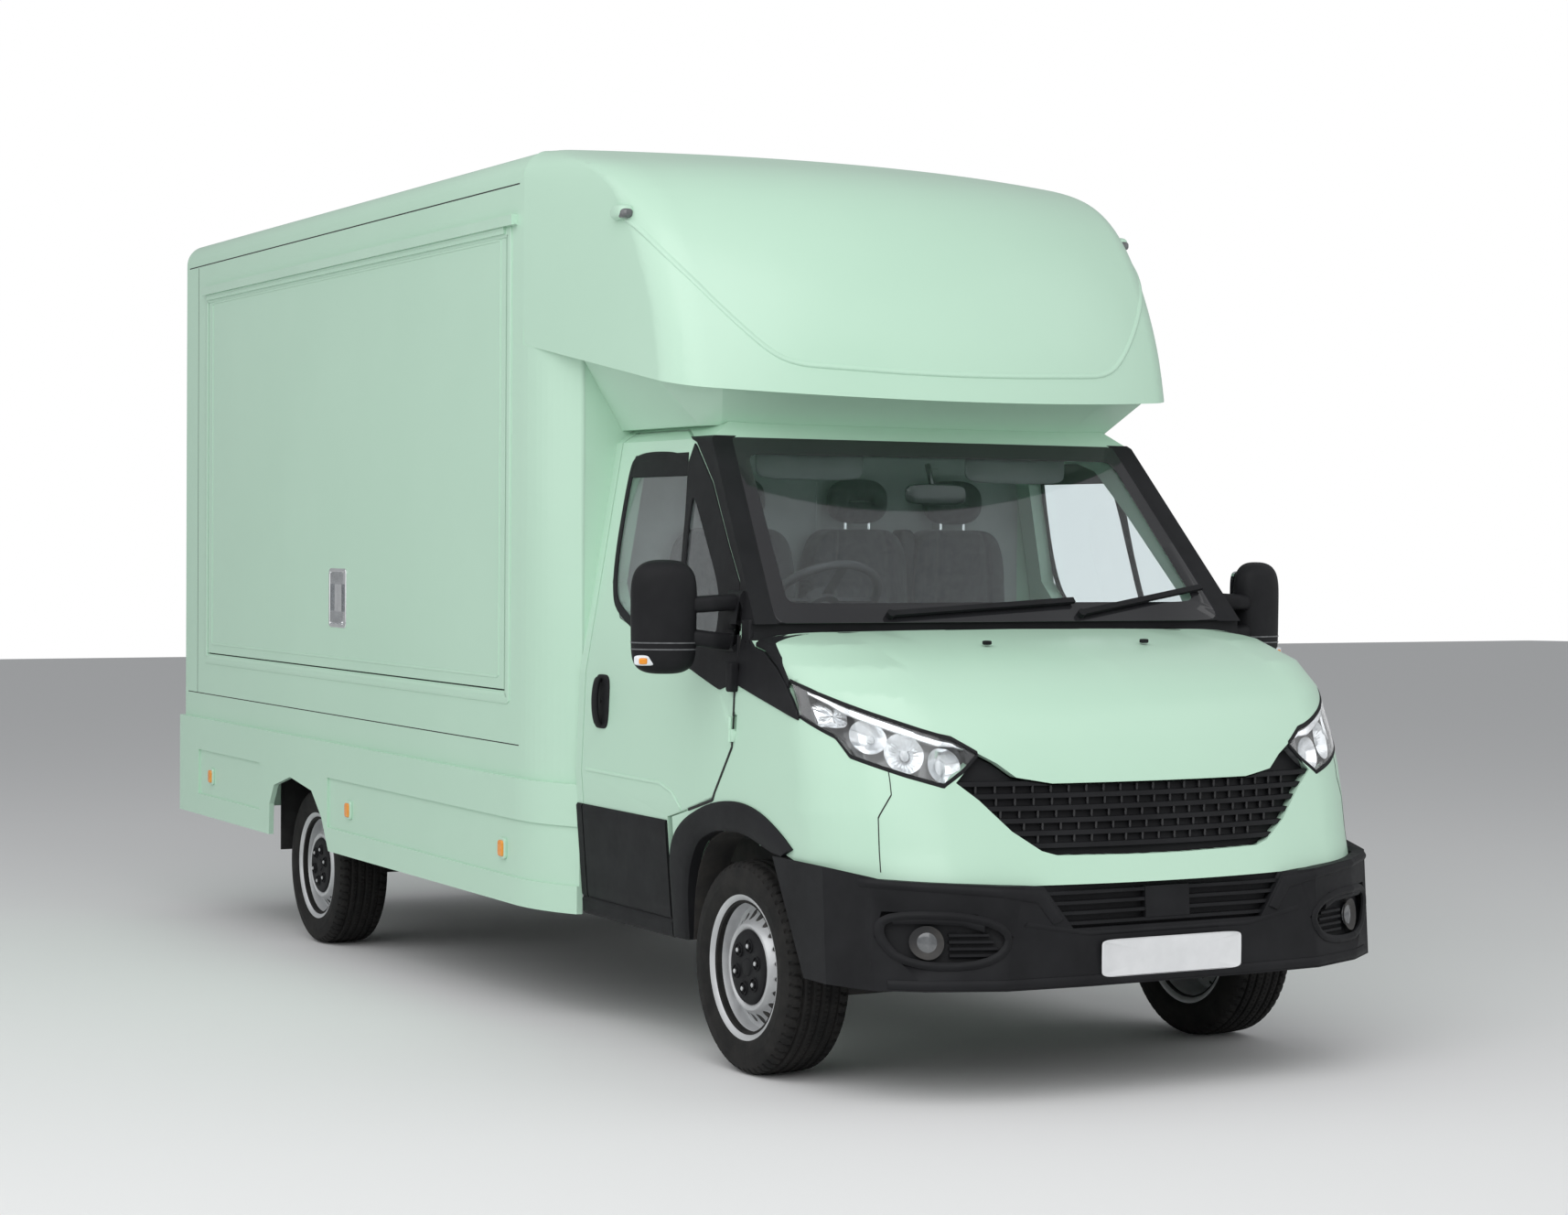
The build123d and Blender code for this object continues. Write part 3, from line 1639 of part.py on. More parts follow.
def rear_axle(frame):
    tube = rod_x(rear_tube_radius, -rear_tube_reach, rear_tube_reach, 0, 0)
    middle = rod_x(differential_radius, -differential_length / 2, differential_length / 2, 0, 0)
    ends = spindle(rear_tube_reach - rear_tube_radius)
    made = tube + middle + ends + mirrored(ends) + leaf_spring() + mirrored(leaf_spring())
    return Pos(0, rear_axle_y, wheel_radius) * made - frame


nodes_on_body = {
    "cab_shell": cab_shell,
    "windscreen": windscreen,
    "bonnet": bonnet,
    "front_wings": wings,
    "front_fascia": fascia,
    "grille": grille,
    "front_bumper": front_bumper,
    "dashboard": dashboard,
    "steering_wheel": steering_wheel,
    "box_floor": box_floor,
    "box_roof": box_roof,
    "box_front": box_front,
    "box_rear": box_rear,
    "engine_block": engine_block,
    "fuel_tank": fuel_tank,
    "wipers": wipers,
    "rear_lamps": rear_lamps,
    "mud_flaps": mud_flaps,
    "hatch_latch": hatch_latch,
    "rear_door": rear_door,
    "serving_hatch": hatch,
    "drip_rail": drip_rail,
    "skirts": skirts,
    "chassis_frame": chassis_frame,
}
for name, make in nodes_on_body.items():
    keep_on_body(name, make())
keep_on_body("intake_grille", intake(front_bumper()))
keep_on_body("luton", luton())
keep_on_body("luton_collar", collar())
keep_on_body("headlamps", apart(lamps()))
keep_on_body("seats", apart(seats()))
for side, name in sides:
    keep_on_body("door_" + name, door(side))
    keep_on_body("door_glass_" + name, door_glass(side))
    keep_on_body("mirror_" + name, mirror_unit(side))
    keep("knuckle_" + name, knuckle(side))
    keep_on_body("box_side_" + name, box_side(side))


# Wheels: profiles as (radius share, x share) of half the rim's and the tyre's width
rim_profile_shares = (
    (1.0, 0.94),
    (1.0, 0.86),
    (0.93, 0.80),
    (0.89, 0.50),
    (0.89, -0.80),
    (0.95, -0.86),
    (1.0, -0.88),
    (1.0, -0.94),
    (0.93, -0.94),
    (0.84, -0.82),
    (0.84, 0.35),
    (0.42, 0.62),
    (0.34, 0.62),
    (0.34, 0.44),
    (0.19, 0.44),
    (0.19, 0.50),
    (0.30, 0.50),
    (0.30, 0.70),
    (0.44, 0.70),
    (0.84, 0.46),
    (0.88, 0.80),
    (0.95, 0.94),
)
tyre_profile_shares = (
    (0.603, 0.78),
    (0.66, 0.80),
    (0.70, 0.93),
    (0.82, 1.0),
    (0.93, 0.95),
    (0.985, 0.78),
    (1.0, 0.55),
)
hand_hole_count = 20
hand_hole_radius = 10.0
hand_hole_share = 0.70


def turned(points):
    # A profile of (radius, x) turned about X
    face = face_of([(x, radius) for radius, x in points])
    return revolve(face, axis=Axis.X)


def rim():
    half = tyre_width / 2
    body = turned([(r * rim_radius, x * half) for r, x in rim_profile_shares])
    for index in range(hand_hole_count):
        turn = 360.0 / hand_hole_count * index
        hole = rod_x(hand_hole_radius, 0, tyre_width, 0, rim_radius * hand_hole_share)
        body = body - Rot(turn, 0, 0) * hole
    return body


def tyre():
    half = tyre_width / 2
    side = [(r * wheel_radius, x * half) for r, x in tyre_profile_shares]
    return turned(side + [(r, -x) for r, x in reversed(side)])


one_rim = rim()
one_tyre = tyre()
axles = ((front_axle_y, "front"), (rear_axle_y, "rear"))
for side, side_name in sides:
    for axle_y, axle_name in axles:
        turn = Rot(0, 0, 0) if side == left else Rot(0, 0, 180)
        place = Pos(side * half_track, axle_y, wheel_radius)
        keep("rim_" + axle_name + "_" + side_name, place * turn * one_rim)
        keep("tyre_" + axle_name + "_" + side_name, place * turn * one_tyre)

level_frame = Pos(0, middle_y, 0) * nodes["chassis_frame"]
keep("front_axle", front_axle(level_frame))
keep("rear_axle", rear_axle(level_frame))

os.makedirs("parts", exist_ok=True)
for name, shape in nodes.items():
    export_step(shape, os.path.join("parts", name + ".step"))
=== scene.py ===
import json
import math

import bmesh
import bpy
import numpy as np
from mathutils import Matrix, Vector
from mathutils.bvhtree import BVHTree


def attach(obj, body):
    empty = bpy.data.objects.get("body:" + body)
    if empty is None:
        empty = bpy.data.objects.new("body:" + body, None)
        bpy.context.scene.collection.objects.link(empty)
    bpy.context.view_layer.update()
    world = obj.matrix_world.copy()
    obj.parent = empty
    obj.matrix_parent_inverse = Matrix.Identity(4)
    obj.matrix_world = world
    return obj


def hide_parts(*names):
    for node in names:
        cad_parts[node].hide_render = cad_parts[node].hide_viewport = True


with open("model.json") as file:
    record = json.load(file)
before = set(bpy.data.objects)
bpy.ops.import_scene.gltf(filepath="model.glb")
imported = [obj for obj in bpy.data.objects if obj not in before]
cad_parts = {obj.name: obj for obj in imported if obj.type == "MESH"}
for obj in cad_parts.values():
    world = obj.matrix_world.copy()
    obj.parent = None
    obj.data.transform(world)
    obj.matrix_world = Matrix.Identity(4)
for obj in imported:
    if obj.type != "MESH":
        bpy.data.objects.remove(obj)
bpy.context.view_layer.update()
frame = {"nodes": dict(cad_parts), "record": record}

nodes = frame["nodes"]

# The body leans nose down by this angle about a line near the front axle
lean = math.radians(1.2)
pivotZ = 0.345
pivotDrop = 0.010
middleY = 2.285
left = 1
right = -1
sideNames = {left: "left", right: "right"}

# Cab and box sizes, repeated from the part's source in metres
axleY = -0.100
wheelbase = 4.050
wheelRadius = 0.342
tyreWidth = 0.228
halfTrack = 0.866
boxHalfWidth = 1.060
boxRearY = 5.600
screenFoot = (-0.140, 1.450)
screenHead = (0.400, 2.085)


def leaned(points):
    # The y and z of a place turned by the lean about the pivot's height, then moved to the scene's origin
    p = np.asarray(points, dtype=float)
    above = p[..., 2] - pivotZ
    y = p[..., 1] * math.cos(lean) - above * math.sin(lean) - middleY
    z = p[..., 1] * math.sin(lean) + above * math.cos(lean) + pivotZ - pivotDrop
    return np.stack([p[..., 0], y, z], axis=-1)


def level(points):
    # Wheels stand on the ground and are only moved to the scene's origin
    p = np.array(points, dtype=float)
    p[..., 1] -= middleY
    return p


# Surfaces of the cab in the leaning body's own frame

flankHeights = np.array([0.340, 0.900, 1.250, 2.060, 2.135])
flankWidths = np.array([0.955, 1.000, 0.985, 0.845, 0.740])
noseFoot, noseRise = 0.690, 0.742
noseHeights = noseFoot + noseRise * np.array([0.0, 0.135, 0.283, 0.418, 0.553, 0.66, 0.755, 0.863, 0.95, 1.0])
noseFronts = -1.062 + 0.907 * np.array([0.0, 0.035, 0.065, 0.086, 0.121, 0.173, 0.238, 0.383, 0.653, 1.0])
noseDepths = np.array([1.0, 1.0, 1.0, 1.0, 1.0, 0.95, 0.85, 0.70, 0.55, 0.40])


def halfWidth(z):
    # Half width of the cab by height, straight between measured heights
    return np.interp(z, flankHeights, flankWidths)


def arcDepth(x, half, share):
    # How far a section of the nose has curved back at a distance from the middle: three arcs
    depth = 0.100 * share
    reach = 0.70 * half
    frontRadius = (reach ** 2 + depth ** 2) / (2 * depth)
    front = frontRadius - np.sqrt(np.maximum(frontRadius ** 2 - x ** 2, 0))
    ax, ay = reach, depth
    bx, by = 0.923 * half, 0.258 * share
    cx, cy = half, 0.520 * share
    d = 2 * (ax * (by - cy) + bx * (cy - ay) + cx * (ay - by))
    a2, b2, c2 = ax * ax + ay * ay, bx * bx + by * by, cx * cx + cy * cy
    ux = (a2 * (by - cy) + b2 * (cy - ay) + c2 * (ay - by)) / d
    uy = (a2 * (cx - bx) + b2 * (ax - cx) + c2 * (bx - ax)) / d
    radius = np.hypot(ax - ux, ay - uy)
    corner = uy - np.sqrt(np.maximum(radius ** 2 - (x - ux) ** 2, 0))
    return np.where(x <= reach, front, corner)


def noseY(x, z):
    # The sections at the heights below and above, stretched to the width here and blended by height
    x = np.abs(np.asarray(x, dtype=float))
    z = np.clip(np.asarray(z, dtype=float), noseHeights[0], noseHeights[-1])
    x, z = np.broadcast_arrays(x, z)
    index = np.clip(np.searchsorted(noseHeights, z, side="right") - 1, 0, len(noseHeights) - 2)
    share = (z - noseHeights[index]) / (noseHeights[index + 1] - noseHeights[index])
    half = halfWidth(z)
    t = np.minimum(x / half, 1.0)
    found = 0
    for step, weight in ((0, 1 - share), (1, share)):
        sectionHalf = halfWidth(noseHeights[index + step])
        back = arcDepth(t * sectionHalf, sectionHalf, noseDepths[index + step])
        found = found + weight * (noseFronts[index + step] + back)
    return found


def flankX(y, z):
    # Half width of the cab at a place seen from the side, found by halving
    y, z = np.broadcast_arrays(np.asarray(y, dtype=float), np.asarray(z, dtype=float))
    low = np.zeros(y.shape)
    high = halfWidth(z) * np.ones(y.shape)
    full = noseY(high, z) <= y
    for _ in range(24):
        middle = (low + high) / 2
        inside = noseY(middle, z) <= y
        low = np.where(inside, middle, low)
        high = np.where(inside, high, middle)
    ahead = (z <= noseHeights[-1]) & ~full
    return np.where(ahead, low, halfWidth(z))


def onFlank(side):
    # A place on the cab's side: y and z as given, x the half width there plus the lift
    def place(uv, lift):
        uv = np.asarray(uv, dtype=float)
        x = flankX(uv[..., 0], uv[..., 1]) + lift
        return np.stack([side * x, uv[..., 0], uv[..., 1]], axis=-1)
    return place


screenRise = np.array([screenHead[0] - screenFoot[0], screenHead[1] - screenFoot[1]])
screenLength = float(np.hypot(*screenRise))


def onScreen(uv, lift):
    # A plane from its foot to its head: across in metres, up as a share of the slope
    uv = np.asarray(uv, dtype=float)
    lift = np.broadcast_to(lift, uv.shape[:-1])
    y = screenFoot[0] + uv[..., 1] * screenRise[0] - lift * screenRise[1] / screenLength
    z = screenFoot[1] + uv[..., 1] * screenRise[1] + lift * screenRise[0] / screenLength
    return np.stack([uv[..., 0], y, z], axis=-1)


def onBoxSide(side):
    # The box's flat side: x is its half width plus the lift
    def place(uv, lift):
        uv = np.asarray(uv, dtype=float)
        lift = np.broadcast_to(lift, uv.shape[:-1])
        return np.stack([side * (boxHalfWidth + lift), uv[..., 0], uv[..., 1]], axis=-1)
    return place


def onRear(uv, lift):
    # The box's flat rear face: y is its place plus the lift
    uv = np.asarray(uv, dtype=float)
    lift = np.broadcast_to(lift, uv.shape[:-1])
    return np.stack([uv[..., 0], boxRearY + lift, uv[..., 1]], axis=-1)


# Shapes are pairs of points and faces

def grid(points, wrapU=False, wrapV=False):
    # Rows of points as a skin of four-sided faces, closed either way where asked
    points = np.asarray(points, dtype=float)
    nu, nv = points.shape[:2]
    iu = np.arange(nu if wrapU else nu - 1)
    iv = np.arange(nv if wrapV else nv - 1)
    a, b = np.meshgrid(iu, iv, indexing="ij")
    an, bn = (a + 1) % nu, (b + 1) % nv
    faces = np.stack([a * nv + b, an * nv + b, an * nv + bn, a * nv + bn], axis=-1)
    return points.reshape(-1, 3), faces.reshape(-1, 4).tolist()


def capped(points, wrapU=False):
    # A skin round closed sections, its two ends closed by a face each
    verts, faces = grid(points, wrapU, True)
    nu, nv = np.asarray(points).shape[:2]
    if not wrapU:
        faces.append(list(range(nv))[::-1])
        faces.append(list(range((nu - 1) * nv, nu * nv)))
    return verts, faces


def joined(shapes):
    # Several shapes as one, the face numbers of each moved on by the points before it
    verts, faces, start = [], [], 0
    for v, f in shapes:
        verts.append(v)
        faces += [[i + start for i in face] for face in f]
        start += len(v)
    return np.concatenate(verts), faces


def mirrored(shape):
    # The sign of x changed, and the faces turned over with it
    verts = np.array(shape[0])
    verts[:, 0] *= -1
    return verts, [face[::-1] for face in shape[1]]


def through(shape, change):
    # A shape whose points are moved by a function
    return change(shape[0]), shape[1]


def tilted(*shapes):
    # Shapes of the leaning body at their place in the scene
    return [through(shape, leaned) for shape in shapes]


def paired(*shapes):
    # The same for left-hand shapes, each followed by its mirror image
    return [one for shape in tilted(*shapes) for one in (shape, mirrored(shape))]


def bothSides(*makers):
    # The same for shapes that are made for the left and then for the right
    return tilted(*(make(side) for side in (left, right) for make in makers))


def resampled(points, count, closed=False):
    # Points at even steps of length along a line or a loop
    p = np.asarray(points, dtype=float)
    if closed:
        p = np.concatenate([p, p[:1]])
    length = np.concatenate([[0], np.cumsum(np.linalg.norm(np.diff(p, axis=0), axis=1))])
    at = np.linspace(0, length[-1], count, endpoint=not closed)
    return np.stack([np.interp(at, length, p[:, i]) for i in range(p.shape[1])], axis=-1)


def rounded(points, times=2, closed=True):
    # Corner cutting, a quarter from each end of each side
    p = np.asarray(points, dtype=float)
    for _ in range(times):
        following = np.roll(p, -1, axis=0) if closed else p[1:]
        base = p if closed else p[:-1]
        cut = np.stack([base * 0.75 + following * 0.25, base * 0.25 + following * 0.75], axis=1)
        cut = cut.reshape(-1, p.shape[1])
        p = cut if closed else np.concatenate([p[:1], cut, p[-1:]])
    return p


def grown(loop, distance):
    # A closed outline moved outwards along its own normals
    p = np.asarray(loop, dtype=float)
    ahead = np.roll(p, -1, axis=0) - p
    behind = p - np.roll(p, 1, axis=0)
    ahead = ahead / np.maximum(np.linalg.norm(ahead, axis=1, keepdims=True), 1e-9)
    behind = behind / np.maximum(np.linalg.norm(behind, axis=1, keepdims=True), 1e-9)
    tangent = ahead + behind
    tangent = tangent / np.maximum(np.linalg.norm(tangent, axis=1, keepdims=True), 1e-9)
    normal = np.stack([tangent[:, 1], -tangent[:, 0]], axis=-1)
    area = np.sum(p[:, 0] * np.roll(p[:, 1], -1) - np.roll(p[:, 0], -1) * p[:, 1])
    return p + normal * distance * (1 if area > 0 else -1)


def slab(lower, upper, place, lift, sink=0.004, across=5, wrap=False, edge=0.0025, crown=0.0):
    # A closed strip between two curves of one surface, its edges rounded over
    lower, upper = np.asarray(lower, dtype=float), np.asarray(upper, dtype=float)
    width = np.maximum(np.linalg.norm(upper - lower, axis=1), 1e-6)[:, None]
    inner = np.minimum(edge * 1.5 / width, 0.2)
    rows, lifts = [], []
    for share in np.linspace(0, 1, across):
        t = inner + (1 - 2 * inner) * share
        rows.append(lower + (upper - lower) * t)
        lifts.append(lift + crown * (1 - (2 * share - 1) ** 2))
    rows = [lower, lower] + rows + [upper, upper]
    lifts = [-sink, lift - edge] + lifts + [lift - edge, -sink]
    points = np.stack([place(row, h) for row, h in zip(rows, lifts)], axis=1)
    return capped(points, wrap)


def swept(path, section, up, closed=False):
    # A closed section carried along a path; up may be one vector or one for each point
    path, section = np.asarray(path, dtype=float), np.asarray(section, dtype=float)
    if closed:
        tangent = np.roll(path, -1, axis=0) - np.roll(path, 1, axis=0)
    else:
        tangent = np.gradient(path, axis=0)
    tangent = tangent / np.maximum(np.linalg.norm(tangent, axis=1, keepdims=True), 1e-9)
    up = np.broadcast_to(np.asarray(up, dtype=float), path.shape)
    across = np.cross(tangent, up)
    across = across / np.maximum(np.linalg.norm(across, axis=1, keepdims=True), 1e-9)
    upright = np.cross(across, tangent)
    a = section[None, :, 0, None] * across[:, None, :]
    b = section[None, :, 1, None] * upright[:, None, :]
    return capped(path[:, None, :] + (a + b), closed)


def circle(radius, count=12, radiusB=None, power=2.0):
    # A circle, ellipse or rounded rectangle, set by the power
    t = np.linspace(0, 2 * math.pi, count, endpoint=False)
    other = radius if radiusB is None else radiusB
    c, s = np.cos(t), np.sin(t)
    x = radius * np.sign(c) * np.abs(c) ** (2 / power)
    y = other * np.sign(s) * np.abs(s) ** (2 / power)
    return np.stack([x, y], axis=-1)


def pillow(centre, size, power=4.0, count=24, ends=0.5):
    # A closed block with all its edges rounded: superellipse sections that shrink towards both ends
    t = np.linspace(-1, 1, count)
    ring = circle(size[0] / 2, count * 2, size[1] / 2, power)
    v = np.sin(t * math.pi / 2)
    shrink = (1 - np.abs(v) ** (power / ends)) ** (1 / power)
    points = np.zeros((count, len(ring), 3))
    points[..., 0] = ring[None, :, 0] * shrink[:, None]
    points[..., 1] = ring[None, :, 1] * shrink[:, None]
    points[..., 2] = (v * size[2] / 2)[:, None]
    return grid(points + np.asarray(centre), False, True)


def lathe(profile, count=48, closed=True):
    # Radius and X turned about X
    p = np.asarray(profile, dtype=float)
    t = np.linspace(0, 2 * math.pi, count, endpoint=False)
    points = np.stack([
        np.broadcast_to(p[None, :, 1], (count, len(p))),
        p[None, :, 0] * np.sin(t)[:, None],
        p[None, :, 0] * np.cos(t)[:, None],
    ], axis=-1)
    return grid(points, True, closed)


def plate(low, high):
    # A block between two corners, for pieces that a bevel finishes
    x0, y0, z0 = low
    x1, y1, z1 = high
    verts = np.array([(x, y, z) for x in (x0, x1) for y in (y0, y1) for z in (z0, z1)], dtype=float)
    return verts, [[0, 1, 3, 2], [4, 6, 7, 5], [0, 4, 5, 1], [2, 3, 7, 6], [0, 2, 6, 4], [1, 5, 7, 3]]


mergeDistance = 0.0002


def makePiece(name, shapes, finish, body="vehicle", slot=None, replaces=(), smooth=35, bevel=0.0):
    # Shapes joined to one mesh, its faces turned outwards and hung on a body
    verts, faces = joined(shapes)
    mesh = bpy.data.meshes.new(name)
    mesh.from_pydata(verts.tolist(), [], faces)
    work = bmesh.new()
    work.from_mesh(mesh)
    bmesh.ops.remove_doubles(work, verts=work.verts, dist=mergeDistance)
    bmesh.ops.dissolve_degenerate(work, edges=work.edges, dist=mergeDistance / 2)
    bmesh.ops.recalc_face_normals(work, faces=work.faces)
    work.to_mesh(mesh)
    work.free()
    mesh.materials.append(materials[finish])
    mesh.shade_smooth()
    mesh.set_sharp_from_angle(angle=math.radians(smooth))
    piece = bpy.data.objects.new(name, mesh)
    bpy.context.scene.collection.objects.link(piece)
    if bevel:
        cut = piece.modifiers.new("edges", "BEVEL")
        cut.width = bevel
        cut.segments = 2
        cut.limit_method = "ANGLE"
        cut.angle_limit = math.radians(30)
    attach(piece, body)
    slot or finishSlots[finish]
    if replaces:
        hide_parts(*replaces)
    return piece


# Materials: colour varies by noise, roughness and relief by finer noises, all on object coordinates

finishes = {
    "mintPaint": {"colour": (0.490, 0.712, 0.562), "other": (0.508, 0.730, 0.580), "spread": 0.9, "rough": (0.36, 0.44),
                  "coat": 0.35, "coatRough": 0.22, "grain": 260.0, "relief": 0.00002},
    "mintRail": {"colour": (0.484, 0.702, 0.556), "other": (0.512, 0.730, 0.584), "spread": 2.0, "rough": (0.28, 0.36),
                 "coat": 0.5, "grain": 300.0, "relief": 0.00002},
    "blackPlastic": {"colour": (0.009, 0.0092, 0.0105), "other": (0.014, 0.0143, 0.016), "spread": 6.0,
                     "rough": (0.50, 0.62), "gleam": 0.20, "grain": 900.0, "relief": 0.00025, "cells": True},
    "glossBlack": {"colour": (0.014, 0.014, 0.016), "other": (0.020, 0.020, 0.022), "spread": 3.0, "rough": (0.10, 0.16),
                   "coat": 0.5, "grain": 300.0, "relief": 0.00001},
    "tyreRubber": {"colour": (0.009, 0.009, 0.009), "other": (0.018, 0.017, 0.016), "spread": 14.0,
                   "rough": (0.70, 0.86), "gleam": 0.30, "grain": 500.0, "relief": 0.0003},
    "rubberSeal": {"colour": (0.012, 0.012, 0.012), "other": (0.022, 0.022, 0.022), "spread": 20.0, "rough": (0.55, 0.7),
                   "grain": 600.0, "relief": 0.0001},
    "steelSilver": {"colour": (0.52, 0.53, 0.54), "other": (0.62, 0.63, 0.64), "spread": 9.0, "rough": (0.42, 0.52),
                    "metal": 0.55, "grain": 500.0, "relief": 0.00005},
    "chromeBright": {"colour": (0.78, 0.79, 0.80), "other": (0.86, 0.87, 0.88), "spread": 20.0, "rough": (0.06, 0.14),
                     "metal": 1.0, "grain": 400.0, "relief": 0.00002},
    "castSteel": {"colour": (0.030, 0.030, 0.031), "other": (0.060, 0.056, 0.052), "spread": 10.0, "rough": (0.55, 0.75),
                  "metal": 0.2, "grain": 240.0, "relief": 0.0006},
    "cabTrim": {"colour": (0.045, 0.047, 0.050), "other": (0.060, 0.062, 0.066), "spread": 8.0, "rough": (0.60, 0.72),
                "grain": 800.0, "relief": 0.0003, "cells": True},
    "paleBoard": {"colour": (0.46, 0.50, 0.49), "other": (0.52, 0.56, 0.55), "spread": 7.0, "rough": (0.5, 0.65),
                  "grain": 200.0, "relief": 0.0003},
    "greyBoard": {"colour": (0.19, 0.20, 0.20), "other": (0.24, 0.25, 0.25), "spread": 7.0, "rough": (0.5, 0.65),
                  "grain": 200.0, "relief": 0.0003},
    "seatFabric": {"colour": (0.045, 0.048, 0.053), "other": (0.075, 0.078, 0.085), "spread": 40.0, "rough": (0.82, 0.92),
                   "grain": 420.0, "relief": 0.0010, "weave": True, "sheen": 0.3},
    "amberLens": {"colour": (0.80, 0.26, 0.015), "other": (0.88, 0.34, 0.03), "spread": 60.0, "rough": (0.14, 0.22),
                  "coat": 0.6, "grain": 260.0, "relief": 0.0004},
    "redLens": {"colour": (0.42, 0.015, 0.015), "other": (0.52, 0.03, 0.02), "spread": 60.0, "rough": (0.12, 0.2),
                "coat": 0.6, "grain": 240.0, "relief": 0.0004},
    "paleLens": {"colour": (0.70, 0.73, 0.75), "other": (0.80, 0.82, 0.84), "spread": 60.0, "rough": (0.10, 0.18),
                 "coat": 0.6, "grain": 300.0, "relief": 0.0004},
    "reflector": {"colour": (0.72, 0.74, 0.76), "other": (0.88, 0.89, 0.90), "spread": 30.0, "rough": (0.10, 0.2),
                  "metal": 0.9, "grain": 150.0, "relief": 0.0005},
    "smokedLens": {"colour": (0.10, 0.105, 0.11), "other": (0.15, 0.155, 0.16), "spread": 30.0, "rough": (0.08, 0.14),
                   "coat": 0.5, "grain": 200.0, "relief": 0.00005},
    "plateWhite": {"colour": (0.70, 0.71, 0.72), "other": (0.76, 0.77, 0.78), "spread": 12.0, "rough": (0.32, 0.42),
                   "grain": 500.0, "relief": 0.00006},
    "mirrorFace": {"colour": (0.62, 0.65, 0.67), "other": (0.68, 0.70, 0.72), "spread": 3.0, "rough": (0.02, 0.05),
                   "metal": 1.0, "grain": 100.0, "relief": 0.000005},
    "clearGlass": {"colour": (0.84, 0.90, 0.91), "other": (0.86, 0.915, 0.925), "spread": 1.2, "rough": (0.0, 0.02),
                   "clear": 1.0, "grain": 30.0, "relief": 0.000004},
    "lampGlass": {"colour": (0.93, 0.95, 0.96), "other": (0.96, 0.97, 0.98), "spread": 3.0, "rough": (0.0, 0.02),
                  "clear": 1.0, "grain": 60.0, "relief": 0.00001},
}


# A slot for each finish, looked up where a call names no other
finishSlots = {
    "mintPaint": "paint", "mintRail": "paint", "blackPlastic": "black_plastic", "glossBlack": "black_plastic",
    "tyreRubber": "tyre", "rubberSeal": "rubber", "steelSilver": "silver", "castSteel": "cast",
    "chromeBright": "chrome", "reflector": "chrome", "mirrorFace": "chrome", "seatFabric": "seat",
    "cabTrim": "trim", "paleBoard": "trim", "greyBoard": "trim", "plateWhite": "trim",
    "lampGlass": "lamp", "smokedLens": "lamp", "paleLens": "lamp", "amberLens": "lamp", "redLens": "lamp_red",
}


def makeMaterial(name):
    # Two colours mixed by a slow noise, roughness by one five times finer, relief by the finest
    look = finishes[name]
    material = bpy.data.materials.new(name)
    material.use_nodes = True
    tree = material.node_tree
    shader = tree.nodes["Principled BSDF"]
    place = tree.nodes.new("ShaderNodeTexCoord")

    def noise(scale, detail):
        # A noise of so many turns to the metre, in object coordinates
        node = tree.nodes.new("ShaderNodeTexNoise")
        node.inputs["Scale"].default_value = scale
        node.inputs["Detail"].default_value = detail
        node.inputs["Roughness"].default_value = 0.55
        tree.links.new(place.outputs["Object"], node.inputs["Vector"])
        return node

    tone = tree.nodes.new("ShaderNodeValToRGB")
    tone.color_ramp.elements[0].position = 0.35
    tone.color_ramp.elements[1].position = 0.65
    tone.color_ramp.elements[0].color = (*look["colour"], 1)
    tone.color_ramp.elements[1].color = (*look["other"], 1)
    tree.links.new(noise(look["spread"], 4).outputs["Fac"], tone.inputs["Fac"])
    tree.links.new(tone.outputs["Color"], shader.inputs["Base Color"])
    gloss = tree.nodes.new("ShaderNodeMapRange")
    gloss.inputs["To Min"].default_value, gloss.inputs["To Max"].default_value = look["rough"]
    tree.links.new(noise(look["spread"] * 5, 5).outputs["Fac"], gloss.inputs["Value"])
    tree.links.new(gloss.outputs["Result"], shader.inputs["Roughness"])
    bump = tree.nodes.new("ShaderNodeBump")
    bump.inputs["Strength"].default_value = 0.6
    bump.inputs["Distance"].default_value = look["relief"]
    if look.get("cells"):
        relief = tree.nodes.new("ShaderNodeTexVoronoi")
        relief.inputs["Scale"].default_value = look["grain"]
        tree.links.new(place.outputs["Object"], relief.inputs["Vector"])
        height = relief.outputs["Distance"]
    elif look.get("weave"):
        height = weave(tree, place, look["grain"])
    else:
        height = noise(look["grain"], 3).outputs["Fac"]
    tree.links.new(height, bump.inputs["Height"])
    tree.links.new(bump.outputs["Normal"], shader.inputs["Normal"])
    shader.inputs["Metallic"].default_value = look.get("metal", 0.0)
    shader.inputs["Coat Weight"].default_value = look.get("coat", 0.0)
    shader.inputs["Coat Roughness"].default_value = look.get("coatRough", 0.05)
    shader.inputs["Sheen Weight"].default_value = look.get("sheen", 0.0)
    shader.inputs["Transmission Weight"].default_value = look.get("clear", 0.0)
    shader.inputs["IOR"].default_value = 1.45
    shader.inputs["Specular IOR Level"].default_value = look.get("gleam", 0.5)
    return material


def weave(tree, place, scale):
    # Two crossed bands multiplied, as threads over and under
    found = []
    for direction in ("X", "Z"):
        band = tree.nodes.new("ShaderNodeTexWave")
        band.bands_direction = direction
        band.inputs["Scale"].default_value = scale
        band.inputs["Distortion"].default_value = 0.4
        tree.links.new(place.outputs["Object"], band.inputs["Vector"])
        found.append(band.outputs["Fac"])
    both = tree.nodes.new("ShaderNodeMath")
    both.operation = "MULTIPLY"
    tree.links.new(found[0], both.inputs[0])
    tree.links.new(found[1], both.inputs[1])
    return both.outputs[0]


